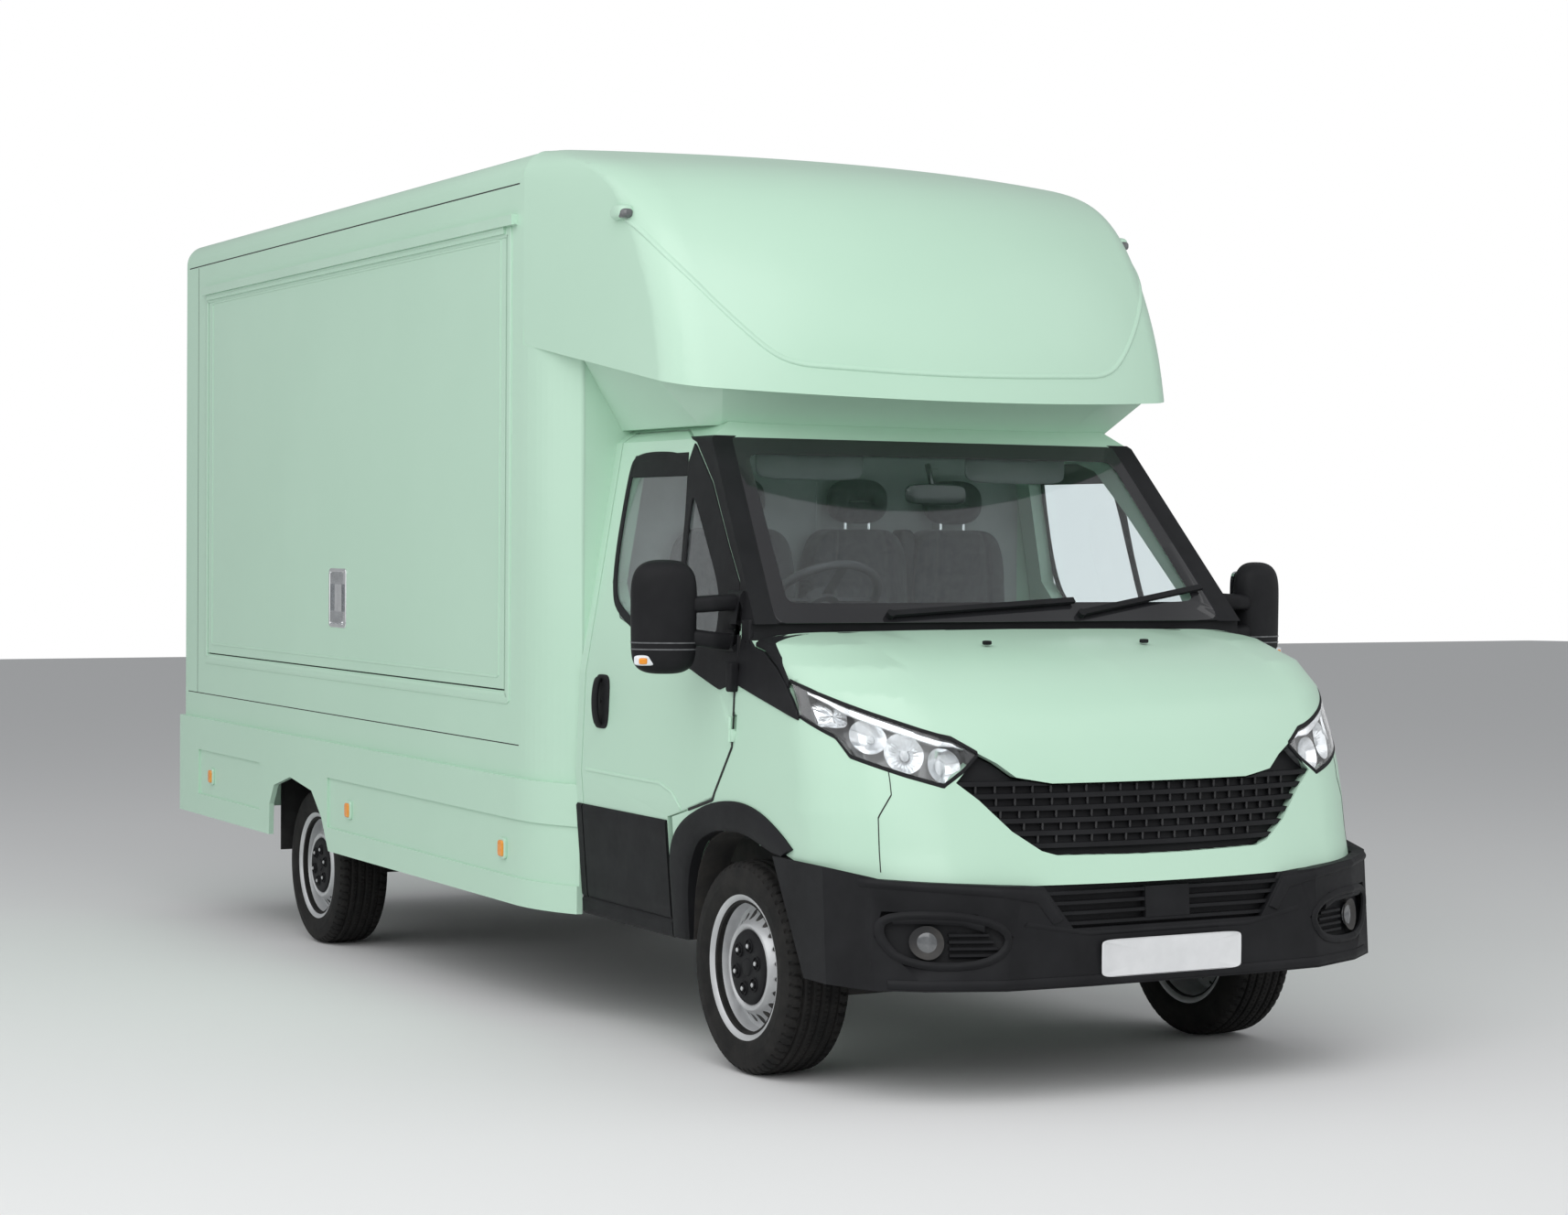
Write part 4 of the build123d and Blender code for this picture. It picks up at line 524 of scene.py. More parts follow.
materials = {name: makeMaterial(name) for name in finishes}
slotFinishes = {
    "paint": "mintPaint", "black_plastic": "blackPlastic", "glass": "clearGlass", "lamp": "lampGlass",
    "tyre": "tyreRubber", "silver": "steelSilver", "cast": "castSteel", "trim": "cabTrim", "seat": "seatFabric",
    "chrome": "chromeBright", "lamp_red": "redLens", "rubber": "rubberSeal", "rail": "mintRail",
}
nodeSlots = {entry["node"]: entry["material_slot"] for entry in frame["record"]["subparts"]}
for name, node in nodes.items():
    for holder in node.material_slots:
        holder.material = materials[slotFinishes[nodeSlots[name]]]
print("materials made")


# Windscreen: black printed border, and the pillar covers that run down beside it

screenShape = {"lowShare": 0.02, "topShare": 0.955, "lowHalf": 0.862, "topHalf": 0.790}
screenBorder = {"top": 0.075, "low": 0.085, "side": 0.055, "lift": 0.0018}


def screenOutline(inset, top, low):
    # Corners of the glass as a loop of x and slope share, inset from its sides, top and foot
    lowShare, highShare = screenShape["lowShare"] + low, screenShape["topShare"] - top
    lowHalf, highHalf = screenShape["lowHalf"] - inset, screenShape["topHalf"] - inset
    loop = [(-lowHalf, lowShare), (lowHalf, lowShare), (highHalf, highShare), (-highHalf, highShare)]
    return resampled(rounded(resampled(loop, 60, True), 2), 240, True)


outerLoop = screenOutline(-0.012, -0.012, -0.014)
innerLoop = screenOutline(screenBorder["side"], screenBorder["top"], screenBorder["low"])
frit = slab(outerLoop, innerLoop, onScreen, screenBorder["lift"], sink=0.0005, across=3, wrap=True, edge=0.0006)
makePiece("screenBorder", tilted(frit), "glossBlack")


doorEdge = np.array([(-0.062, 1.058), (-0.062, 1.353), (0.012, 1.583), (0.126, 1.698), (0.319, 1.911), (0.495, 2.051),
                     (0.654, 2.092)])


def pillarCover(side):
    # From the edge of the glass round the pillar's corner and along the flank to the door's edge
    height = np.linspace(1.452, 2.070, 60)
    cornerY = screenFoot[0] + (height - screenFoot[1]) * screenRise[0] / screenRise[1]
    reach = np.interp(height, doorEdge[:, 1], doorEdge[:, 0]) - 0.0045 - cornerY
    half = halfWidth(height)
    rows = []
    for a, h in ((-0.084, -0.004), (-0.070, 0.006), (-0.030, 0.009), (0.0, 0.010)):
        rows.append(np.stack([side * (half + a + h * 0.7), cornerY - h * 0.7, height], axis=-1))
    for share, h in ((0.25, 0.008), (0.6, 0.006), (0.93, 0.006), (1.0, 0.004), (1.0, -0.004)):
        y = cornerY + reach * share - h * 0.3 * (1 - share)
        rows.append(np.stack([side * (half + h * 0.7), y, height], axis=-1))
    inner = [rows[-1] + np.array([-side * 0.02, 0, 0]), rows[0] + np.array([0, 0.02, 0])]
    return capped(np.stack(rows + inner, axis=1))


makePiece("pillarCovers", bothSides(pillarCover), "blackPlastic", smooth=50)


def sailPanel(side):
    # Black triangle between the pillar's foot and the lamp's rear tip, up to the bonnet's edge
    lower = resampled([(-0.066, 1.261), (-0.230, 1.224), (-0.360, 1.196), (-0.489, 1.168)], 80)
    upper = resampled([(-0.066, 1.535), (-0.122, 1.470), (-0.125, 1.402), (-0.163, 1.3785), (-0.229, 1.3675),
                       (-0.333, 1.3175), (-0.402, 1.275), (-0.448, 1.232), (-0.491, 1.177)], 80)
    return slab(lower, upper, onFlank(side), 0.0065, across=10)


def bonnetSail(side):
    # Its upper strip goes up with the bonnet
    lower = resampled([(-0.166, 1.3835), (-0.229, 1.3725), (-0.333, 1.3225), (-0.418, 1.2635)], 40)
    upper = resampled([(-0.166, 1.432), (-0.229, 1.406), (-0.333, 1.353), (-0.412, 1.285)], 40)
    return slab(lower, upper, onFlank(side), 0.004, across=6)


# Block at the bonnet's rear corner and the lip under it
cornerCaps = paired(pillow((0.905, -0.0925, 1.430), (0.122, 0.062, 0.076), 8.0, 20),
                    pillow((0.905, -0.112, 1.386), (0.104, 0.100, 0.018), 6.0, 16))
makePiece("sailPanels", bothSides(sailPanel) + cornerCaps, "blackPlastic")
makePiece("bonnetSails", bothSides(bonnetSail), "blackPlastic", "bonnet")

# Door windows: surround, divider bar and lower cladding ride on the doors

windowLoop = np.array([
    (0.0517, 1.246), (0.870, 1.443), (0.978, 1.567), (0.978, 1.961), (0.939, 2.010), (0.643, 2.010),
    (0.529, 1.977), (0.359, 1.813), (0.1086, 1.542), (0.0517, 1.435),
])


def windowSurround(side):
    # A strip that follows the window's rounded outline on both sides of its edge
    loop = resampled(rounded(windowLoop, 3), 260, True)
    return slab(grown(loop, 0.013), grown(loop, -0.016), onFlank(side), 0.004, across=4, wrap=True)


def byAngle(loop, centre, count):
    # A loop's points at even angles about a centre that sees all of it
    dense = resampled(loop, 1200, True) - centre
    angle = np.arctan2(dense[:, 1], dense[:, 0])
    order = np.argsort(angle)
    at = np.linspace(-math.pi, math.pi, count, endpoint=False)
    radius = np.interp(at, angle[order], np.linalg.norm(dense, axis=1)[order], period=2 * math.pi)
    return centre + np.stack([radius * np.cos(at), radius * np.sin(at)], axis=-1)


quarterOuter = np.array([(0.385, 1.325), (0.440, 1.560), (0.482, 1.800), (0.520, 1.990), (0.497, 2.048), (0.3205, 1.909),
                         (0.1275, 1.6965), (0.0135, 1.5815), (-0.0605, 1.353), (-0.0605, 1.262), (0.040, 1.236),
                         (0.200, 1.276)])
quarterInner = np.array([(0.452, 1.880), (0.380, 1.808), (0.250, 1.668), (0.138, 1.545), (0.115, 1.430), (0.140, 1.398),
                         (0.262, 1.391), (0.385, 1.400), (0.420, 1.560), (0.448, 1.780)])


def quarterPanel(side):
    # Black panel round the fixed quarter glass, from the divider to the door's edge
    centre = np.array([0.270, 1.560])
    outer = byAngle(quarterOuter, centre, 300)
    inner = byAngle(rounded(quarterInner, 2), centre, 300)
    return slab(outer, inner, onFlank(side), 0.0065, across=6, wrap=True)


def windowBand(side):
    # A flat strip over the head of the glass
    lower = resampled([(0.520, 1.935), (0.962, 1.935)], 30)
    upper = resampled([(0.540, 2.016), (0.950, 2.012)], 30)
    return slab(lower, upper, onFlank(side), 0.0035, across=5)


def windowDivider(side):
    # An upright bar of even width that leans with the quarter panel's rear edge
    middle = resampled([(0.372, 1.330), (0.429, 1.560), (0.470, 1.800), (0.512, 1.985)], 30)
    shift = np.array([0.016, 0.0])
    return slab(middle - shift, middle + shift, onFlank(side), 0.0055, across=4)


def doorCladding(side):
    # A raised panel between two level lines, its edges rolled over
    lower = resampled([(0.4085, 0.4505), (1.0705, 0.4505)], 40)
    upper = resampled([(0.4085, 0.782), (1.0705, 0.782)], 40)
    return slab(lower, upper, onFlank(side), 0.010, across=8, edge=0.006)


for side in (left, right):
    door = "door_" + sideNames[side]
    hingeCap = pillow((side * 0.998, -0.0685, 1.282), (0.032, 0.036, 0.096), 6.0, 20)
    trims = tilted(windowSurround(side), quarterPanel(side), windowBand(side), windowDivider(side), hingeCap)
    makePiece("windowTrim_" + sideNames[side], trims, "blackPlastic", door)
    makePiece("doorCladding_" + sideNames[side], tilted(doorCladding(side)), "blackPlastic", door)


# Arch trim and sill cladding: raised lip round the front wheel, running into the sill

archInner = [(0.284, 0.395), (0.280, 0.522), (0.268, 0.585), (0.244, 0.650), (0.188, 0.724), (0.130, 0.755),
             (0.048, 0.780), (-0.069, 0.790), (-0.158, 0.786), (-0.238, 0.770), (-0.330, 0.745), (-0.400, 0.738)]
archOuter = [(0.398, 0.395), (0.398, 0.560), (0.398, 0.660), (0.365, 0.735), (0.290, 0.790), (0.200, 0.828),
             (0.080, 0.866), (-0.046, 0.886), (-0.166, 0.887), (-0.282, 0.864), (-0.400, 0.812), (-0.470, 0.768)]


def archTrim(side):
    # A strip from the wheel opening's line to an outer line, crowned between them
    inner = resampled(rounded(archInner, 2, False), 70)
    outer = resampled(rounded(archOuter, 2, False), 70)
    return slab(inner, outer, onFlank(side), 0.014, sink=0.030, across=7, edge=0.008, crown=0.004)


def sillCladding(side):
    # The cladding's lower strip, fixed to the body
    lower = resampled([(0.402, 0.388), (1.122, 0.388)], 30)
    upper = resampled([(0.402, 0.4492), (1.122, 0.4492)], 30)
    return slab(lower, upper, onFlank(side), 0.010, sink=0.050, across=4, edge=0.006)


def cornerCladding(side):
    # Short fixed panel between the door and the body
    lower = resampled([(1.0795, 0.450), (1.122, 0.450)], 8)
    upper = resampled([(1.0795, 0.782), (1.122, 0.782)], 8)
    return slab(lower, upper, onFlank(side), 0.010, sink=0.010, across=8, edge=0.005)


makePiece("archTrim", bothSides(archTrim, sillCladding, cornerCladding), "blackPlastic")
print("black trim made")

# Headlamps: a dark tray, bright bowls in it and a thin clear lens over all, laid round the nose's corner


def aroundNose(uv, lift):
    # Across: 0 to 1 is the front arc, 1 to 2 the corner arc and from 2 the straight flank; up in metres
    uv = np.asarray(uv, dtype=float)

    def bare(u, z):
        # The place on the surface itself, blended between the sections below and above
        index = np.clip(np.searchsorted(noseHeights, z, side="right") - 1, 0, len(noseHeights) - 2)
        share = (z - noseHeights[index]) / (noseHeights[index + 1] - noseHeights[index])
        total = 0
        for step, weight in ((0, 1 - share), (1, share)):
            half = halfWidth(noseHeights[index + step])
            depths = noseDepths[index + step]
            x = half * np.interp(u, [0, 1, 2, 3], [0, 0.70, 1.0, 1.0]) * np.ones(u.shape)
            bend = np.clip(u - 1, 0, 1)
            x = np.where((u > 1) & (u < 2), half * (0.70 + 0.30 * np.sin(bend * math.pi / 2)), x)
            y = noseFronts[index + step] + arcDepth(np.minimum(x, half), half, depths)
            y = y + np.maximum(u - 2, 0) * 0.5
            total = total + weight[..., None] * np.stack([x, y], axis=-1)
        return np.concatenate([total, z[..., None]], axis=-1)

    u, z = uv[..., 0], uv[..., 1]
    place = bare(u, z)
    tiny = 0.004
    alongU = bare(u + tiny, z) - bare(u - tiny, z)
    alongZ = bare(u, z + tiny) - bare(u, z - tiny)
    normal = np.cross(alongU, alongZ)
    normal = normal / np.maximum(np.linalg.norm(normal, axis=-1, keepdims=True), 1e-9)
    return place + normal * np.broadcast_to(lift, u.shape)[..., None]


def acrossNose(x, y, z):
    # The same measure for a place on the surface
    x, y, z = np.abs(x), np.asarray(y, dtype=float), np.asarray(z, dtype=float)
    half = halfWidth(z)
    sideY = np.interp(z, noseHeights, noseFronts) + 0.52 * np.interp(z, noseHeights, noseDepths)
    bend = np.arcsin(np.clip((x / half - 0.70) / 0.30, 0, 1)) / (math.pi / 2)
    u = np.where(x < 0.70 * half, x / (0.70 * half), 1 + bend)
    return np.where((y > sideY) & (x > 0.97 * half), 2 + (y - sideY) / 0.5, u)


def noseLine(points):
    # Front-view points, and side-view ones where the first value is behind the lamps, as places round the nose
    p = np.array(points, dtype=float)
    return np.stack([acrossNose(p[:, 0], p[:, 1], p[:, 2]), p[:, 2]], axis=-1)


def frontPoint(x, z):
    # A place on the nose from what the front view shows
    return (x, float(noseY(x, z)), z)


lampTop = noseLine([frontPoint(0.588, 1.082), frontPoint(0.658, 1.127), frontPoint(0.741, 1.150),
                    frontPoint(0.849, 1.193), frontPoint(0.934, 1.238), (0.970, -0.470, 1.272), (0.976, -0.402, 1.285)])
lampLow = noseLine([frontPoint(0.588, 1.078), frontPoint(0.640, 1.030), frontPoint(0.703, 0.986),
                    frontPoint(0.805, 1.018), frontPoint(0.922, 1.070), frontPoint(0.942, 1.126), (0.982, -0.486, 1.178)])
lampTop = resampled(lampTop, 70)
lampLow = resampled(lampLow, 70)


def shell(lower, upper, place, outerLift, innerLift, across=20):
    # A thin skin between two curves that follows the surface on both of its faces
    shares = np.linspace(0, 1, across)
    rows = [place(lower + (upper - lower) * t, outerLift) for t in shares]
    rows += [place(lower + (upper - lower) * t, innerLift) for t in shares[::-1]]
    return capped(np.stack(rows, axis=1))


def tray(lower, upper, place, rim, floor, wall=0.004, inset=0.10):
    # Open towards the viewer: walls fall from a rim to a floor between two curves
    span = upper - lower
    shares = [(0.0, rim), (0.0, floor + wall), (inset, floor), (0.3, floor), (0.5, floor), (0.7, floor),
              (1 - inset, floor), (1.0, floor + wall), (1.0, rim)]
    rows = [place(lower + span * t, h) for t, h in shares]
    rows += [place(lower + span * t, h - wall) for t, h in shares[::-1]]
    return capped(np.stack(rows, axis=1))


def dish(u, z, reachU, reachZ, rim, floor, ripples=0, place=aroundNose, power=2.0, wall=0.002):
    # A bowl sunk into a surface: it falls from its rim to its floor, fluted by ripples round its middle
    turns = np.linspace(0, 2 * math.pi, 72, endpoint=False)
    outline = circle(1.0, 72, 1.0, power)
    shares = np.linspace(1.0, 0.06, 16)
    rows = []
    for lower, order in ((0.0, shares), (wall, shares[::-1])):
        for share in order:
            depth = (rim - floor) * (1 - share ** 2)
            flute = 0.0016 * np.cos(turns * ripples) * share * (1 - share) * 4 if ripples else 0
            uv = np.stack([u + outline[:, 0] * reachU * share, z + outline[:, 1] * reachZ * share], axis=-1)
            rows.append(place(uv, rim - depth + flute - lower))
    return grid(np.stack(rows), True, True)


def dome(u, z, reachU, reachZ, base, height, place=aroundNose, count=40):
    # A rounded button standing on a surface
    rows = []
    outline = circle(1.0, count)
    for angle in np.linspace(0, math.pi / 2 * 0.97, 9):
        share = math.cos(angle)
        uv = np.stack([u + outline[:, 0] * reachU * share, z + outline[:, 1] * reachZ * share], axis=-1)
        rows.append(place(uv, base + height * math.sin(angle)))
    return capped(np.stack(rows))


def uOf(x, z):
    # How far round the nose a place in the front view is
    return float(acrossNose(x, noseY(x, z), z))


lampSkin = {"outer": 0.0015, "inner": -0.0035, "trayRim": -0.006, "trayFloor": -0.056, "sealHalf": 0.007}
# Bowls: x, z, height of the middle, reach across and up, rim, floor, ripples, power of the outline
bowlPlan = (
    (0.700, 1.050, 1.050, 0.085, 0.052, -0.014, -0.050, 0, 2.0),
    (0.800, 1.085, 1.085, 0.120, 0.060, -0.016, -0.052, 24, 2.0),
    (0.880, 1.130, 1.130, 0.115, 0.050, -0.014, -0.046, 0, 2.0),
    (0.950, 1.185, 1.190, 0.130, 0.036, -0.016, -0.040, 18, 4.0),
)
# Bulbs: x, z, reach across and up, base, height
bulbPlan = (
    (0.700, 1.050, 0.030, 0.022, -0.044, 0.016),
    (0.800, 1.085, 0.030, 0.018, -0.046, 0.018),
    (0.880, 1.130, 0.024, 0.012, -0.042, 0.014),
)
lens = shell(lampLow, lampTop, aroundNose, lampSkin["outer"], lampSkin["inner"], 26)
sealShift = np.array([0.0, lampSkin["sealHalf"]])
seals = [slab(curve - sealShift, curve + sealShift, aroundNose, 0.0025, sink=0.006, across=3)
         for curve in (lampTop, lampLow)]
lampTray = tray(lampLow, lampTop, aroundNose, lampSkin["trayRim"], lampSkin["trayFloor"])
ends = [slab(lampLow[a:b], lampTop[a:b], aroundNose, -0.007, sink=0.052, across=6) for a, b in ((62, 70), (0, 5))]
lampSpan = lampTop - lampLow
brow = slab(lampTop - lampSpan * 0.20, lampTop - lampSpan * 0.04, aroundNose, -0.010, sink=0.030, across=4)
bowls = [dish(uOf(x, z), middle, acrossReach, upReach, rim, floor, ripples, power=power)
         for x, z, middle, acrossReach, upReach, rim, floor, ripples, power in bowlPlan]
bulbs = [dome(uOf(x, z), z, acrossReach, upReach, base, height) for x, z, acrossReach, upReach, base, height in bulbPlan]
makePiece("lampLenses", paired(lens), "lampGlass", replaces=("headlamps",))
makePiece("lampSeals", paired(*seals), "blackPlastic")
makePiece("lampTrays", paired(lampTray), "smokedLens")
makePiece("lampEnds", paired(*ends), "glossBlack", slot="lamp")
makePiece("lampBowls", paired(*bowls, brow), "reflector")
makePiece("lampBulbs", paired(*bulbs), "paleLens")
print("headlamps made")

# Wheels: tyre with grooves and shoulder blocks, rim lip, oval hand holes, black cap with nuts

tyreHalf = tyreWidth / 2
tyreSide = np.array([
    (0.600, 0.780), (0.628, 0.800), (0.655, 0.815), (0.672, 0.870), (0.690, 0.915), (0.720, 0.955), (0.760, 0.983),
    (0.805, 0.996), (0.812, 1.000), (0.820, 1.000), (0.828, 0.996), (0.870, 0.985), (0.905, 0.968), (0.935, 0.940),
    (0.955, 0.905), (0.970, 0.865), (0.9795, 0.820), (0.984, 0.790),
])


# Grooves: middle and half width as shares of the tyre's half width; depths in metres
grooves = ((0.0, 0.045), (0.30, 0.055), (0.565, 0.050))
grooveDepth, notchDepth, sipeDepth = 0.0085, 0.0075, 0.0035
blockCount = 60


def tyreShape():
    # A profile turned about the axle, less grooves round it, slanted notches on its shoulders and fine sipes
    tread = np.linspace(-0.770, 0.770, 57)
    crown = 1.0 - 0.0105 * np.abs(tread / 0.77) ** 3.0 - 0.004 * np.abs(tread) ** 2
    profile = np.concatenate([tyreSide * np.array([1, -1]), np.stack([crown, tread], axis=-1), tyreSide[::-1]])
    radius, x = profile[:, 0] * wheelRadius, profile[:, 1] * tyreHalf
    turn = np.linspace(0, 2 * math.pi, 360, endpoint=False)
    share = np.abs(profile[:, 1])
    groove = np.zeros(len(profile))
    for centre, width in grooves:
        groove = np.maximum(groove, np.clip(1.6 * (1 - np.abs(share - centre) / width), 0, 1))
    groove = np.where(share < 0.79, groove, 0)
    pitch = (turn[:, None] * blockCount / (2 * math.pi) + profile[None, :, 1] * 0.6) % 1
    outside = profile[:, 0] > 0.94
    shoulder = np.where((share > 0.62) & (share < 0.93) & outside, 1.0, 0.0)
    notch = np.where(pitch < 0.24, 1.0, 0.0) * shoulder[None, :]
    inner = np.where((share < 0.50) & outside, 1.0, 0.0)
    sipe = np.where((pitch * 2) % 1 < 0.17, 1.0, 0.0) * inner[None, :]
    cut = np.maximum(np.maximum(groove[None, :] * grooveDepth, notch * notchDepth), sipe * sipeDepth)
    r = radius[None, :] - cut
    points = np.stack([np.broadcast_to(x, r.shape), r * np.sin(turn)[:, None], r * np.cos(turn)[:, None]], axis=-1)
    return grid(points, True, True)


rimFace = np.array([
    (0.0300, 0.0740), (0.1190, 0.0740), (0.1240, 0.0800), (0.1310, 0.0830), (0.1380, 0.0815), (0.1440, 0.0750),
    (0.1500, 0.0650), (0.1580, 0.0540), (0.1700, 0.0430), (0.1820, 0.0360), (0.1900, 0.0330), (0.1985, 0.0340),
])
rimBarrel = [
    (0.2345, 0.0985), (0.2325, 0.1020), (0.2265, 0.1010), (0.2190, 0.0960), (0.2120, 0.0880), (0.2060, 0.0740),
    (0.2010, 0.0500), (0.1960, 0.0200), (0.1950, -0.0300), (0.2000, -0.0700), (0.2110, -0.0900),
    (0.2250, -0.0990), (0.2330, -0.1000),
    (0.2345, -0.0960), (0.2250, -0.0930), (0.2150, -0.0840), (0.2050, -0.0660), (0.2000, -0.0300), (0.2010, 0.0200),
    (0.2060, 0.0480), (0.2110, 0.0720), (0.2170, 0.0860), (0.2260, 0.0930),
]


def faceX(radius):
    # How far out the disc stands at a radius
    return np.interp(radius, rimFace[:, 0], rimFace[:, 1])


handHole = {"count": 20, "radius": 0.1665, "across": 0.0165, "along": 0.0140}


def handHoles(rise, growth, filled):
    # Ovals round the disc, one section for each rise and growth, as floors or as open lips
    shapes = []
    turns = np.linspace(0, 2 * math.pi, 22, endpoint=False)
    for index in range(handHole["count"]):
        middle = 2 * math.pi * (index + 0.5) / handHole["count"]
        rows = []
        for out, x in zip(growth, rise):
            r = handHole["radius"] + np.sin(turns) * (handHole["across"] + out)
            angle = middle + np.cos(turns) * (handHole["along"] + out) / handHole["radius"]
            rows.append(np.stack([faceX(r) + x, r * np.sin(angle), r * np.cos(angle)], axis=-1))
        shapes.append(capped(np.stack(rows), not filled))
    return shapes


rimLip = lathe(rimBarrel, 120)
rimDisc = lathe([tuple(row) for row in rimFace] + [(r, x - 0.006) for r, x in rimFace[::-1]], 120)
capProfile = [(0.0001, 0.0905), (0.0240, 0.0905), (0.0270, 0.0890), (0.0290, 0.0860), (0.0400, 0.0850),
              (0.0560, 0.0862), (0.0920, 0.0885), (0.1080, 0.0875), (0.1160, 0.0840), (0.1200, 0.0770),
              (0.1160, 0.0735), (0.0001, 0.0735)]
capDisc = lathe(capProfile, 96, closed=False)


# Nuts: how many, the radius they stand on, the turn of the first; sections as pairs of x and radius
nutPlan = {
    "count": 6, "ring": 0.0720, "first": 0.26,
    "nut": ((0.0860, 0.0125), (0.0930, 0.0125), (0.0945, 0.0110), (0.0945, 0.0060)),
    "tip": ((0.0940, 0.0070), (0.0970, 0.0070), (0.0985, 0.0050), (0.0990, 0.0020)),
    "well": ((0.0850, 0.0190), (0.0915, 0.0195), (0.0925, 0.0210), (0.0915, 0.0230), (0.0850, 0.0240)),
}


def wheelNuts():
    # Six nuts in black with small silver tips, each in a dark well with a lip round it: the black is painted shade in
    # the wells and the silver tips are painted highlights
    shadedNuts, glintTips, wells = [], [], []
    for index in range(nutPlan["count"]):
        turn = 2 * math.pi * index / nutPlan["count"] + nutPlan["first"]
        cy, cz = nutPlan["ring"] * math.sin(turn), nutPlan["ring"] * math.cos(turn)

        def stack(sections, count):
            # Circles of given radius at given x, one in front of another
            outline = circle(1.0, count)
            return np.stack([np.stack([np.full(count, x), cy + outline[:, 0] * r, cz + outline[:, 1] * r], axis=-1)
                             for x, r in sections])

        shadedNuts.append(capped(stack(nutPlan["nut"], 6)))
        glintTips.append(capped(stack(nutPlan["tip"], 16)))
        wells.append(capped(stack(nutPlan["well"], 28), True))
    return shadedNuts, glintTips, wells


shadedNuts, glintTips, wells = wheelNuts()
holeLips = handHoles((-0.002, 0.0012, 0.0022, 0.0012, -0.002), (0.0045, 0.0040, 0.0020, 0.0000, -0.0005), False)
holeFloors = handHoles((-0.006, 0.0004), (0.0, 0.0), True)
tyreOne = tyreShape()
for side in (left, right):
    for axle, y in (("front", axleY), ("rear", axleY + wheelbase)):
        tag = axle + "_" + sideNames[side]

        def toWheel(points, side=side, y=y):
            # Right-hand wheels are turned half round, then each is moved to its axle's end
            turnedPoints = np.array(points)
            if side == right:
                turnedPoints[:, :2] *= -1
            return level(turnedPoints + np.array([side * halfTrack, y, wheelRadius]))

        wheelPlan = (
            ("tyreTread_", [tyreOne], "tyreRubber", ("tyre_" + tag,), 28),
            ("rimFace_", [rimLip, rimDisc] + holeLips, "steelSilver", ("rim_" + tag,), 35),
            ("holeFloors_", holeFloors, "castSteel", (), 35),
            # The nuts take the cap's black as painted shade, and the tips in the next row are silver as painted
            # highlights
            ("wheelCap_", [capDisc] + wells + shadedNuts, "blackPlastic", (), 35),
            ("wheelNuts_", glintTips, "steelSilver", (), 35),
        )
        for name, shapes, finish, replaced, smooth in wheelPlan:
            makePiece(name + tag, [through(shape, toWheel) for shape in shapes], finish, "wheel_" + tag,
                      replaces=replaced, smooth=smooth)
print("wheels made")

# Mirrors: rounded head with two pale seams, glass behind, two bowed arms, a clear lamp low outside

mirrorPlan = {
    "middle": (1.179, 0.062, 1.472), "turn": 24, "halfHeight": 0.183, "halfWidth": 0.109, "halfDepth": 0.052,
    "bulge": 0.018, "bands": (-0.082, -0.103), "bandHalf": 0.0022, "panes": ((-0.080, 0.150), (-0.158, -0.108)),
    "arms": ((1.393, 1.405), (1.518, 1.512)),
}


def mirrorShapes():
    # Rounded sections stacked upwards, widest a little above the middle, their front side bulged forward
    turn = math.radians(mirrorPlan["turn"])
    middle = np.array(mirrorPlan["middle"])
    rot = np.array([[math.cos(turn), -math.sin(turn), 0], [math.sin(turn), math.cos(turn), 0], [0, 0, 1]])

    def placed(points):
        # Turned about an upright axis and moved to the mirror's middle
        return np.asarray(points) @ rot.T + middle

    t = np.linspace(-1, 1, 41)
    swing = np.abs(np.sin(t * math.pi / 2))
    rise = mirrorPlan["halfHeight"] * np.sin(t * math.pi / 2)
    fullness = np.where(t > 0, (1 - swing ** 5.0) ** (1 / 2.6), (1 - swing ** 7) ** (1 / 3))
    wide = mirrorPlan["halfWidth"] * fullness * (0.97 + 0.03 * t)
    deep = mirrorPlan["halfDepth"] * fullness
    outline = circle(1.0, 64, 1.0, 3.2)

    def section(w, d, z, bulge):
        # An outline of a half width and depth, its front side moved forward most at the middle
        pts = np.stack([outline[:, 0] * w, outline[:, 1] * d, np.full(64, z)], axis=-1)
        pts[:, 1] += np.where(pts[:, 1] < 0, -bulge * (1 - (pts[:, 0] / max(w, 1e-6)) ** 2), 0)
        return pts

    rows = [section(w, d, z, mirrorPlan["bulge"] * (w / 0.104)) for w, d, z in zip(wide, deep, rise)]
    head = through(grid(np.stack(rows), False, True), placed)

    def band(z, high):
        # A thin hoop round the head between two heights
        out = []
        for dz, grow in ((-high, -0.002), (-high, 0.0018), (high, 0.0018), (high, -0.002)):
            w = np.interp(z + dz, rise, wide) + grow
            d = np.interp(z + dz, rise, deep) + grow
            out.append(section(w, d, z + dz, mirrorPlan["bulge"]))
        return through(capped(np.stack(out), True), placed)

    bands = [band(z, mirrorPlan["bandHalf"]) for z in mirrorPlan["bands"]]
    glass = []
    for z0, z1 in mirrorPlan["panes"]:
        loop = circle(0.084, 48, (z1 - z0) / 2, 6.0)
        out = []
        for share, y in ((1.0, 0.044), (1.0, 0.0555), (0.97, 0.0575), (0.90, 0.0575)):
            out.append(np.stack([loop[:, 0] * share, np.full(48, y), (z0 + z1) / 2 + loop[:, 1] * share], axis=-1))
        glass.append(through(capped(np.stack(out)), placed))
    arms = []
    for z, end in mirrorPlan["arms"]:
        path = [(0.935, 0.012, z), (0.985, 0.006, z), (1.040, 0.000, (z + end) / 2), (1.085, 0.012, end),
                (1.110, 0.030, end)]
        arms.append(swept(resampled(path, 24), circle(0.030, 24, 0.027, 3.0), (0, 0, 1)))
    lens = pillow((0.060, -0.052, -0.138), (0.070, 0.022, 0.034), 3.0, 20)
    amber = pillow((0.066, -0.0560, -0.140), (0.030, 0.020, 0.022), 3.0, 16)
    return head, bands, glass, arms, through(lens, placed), through(amber, placed)


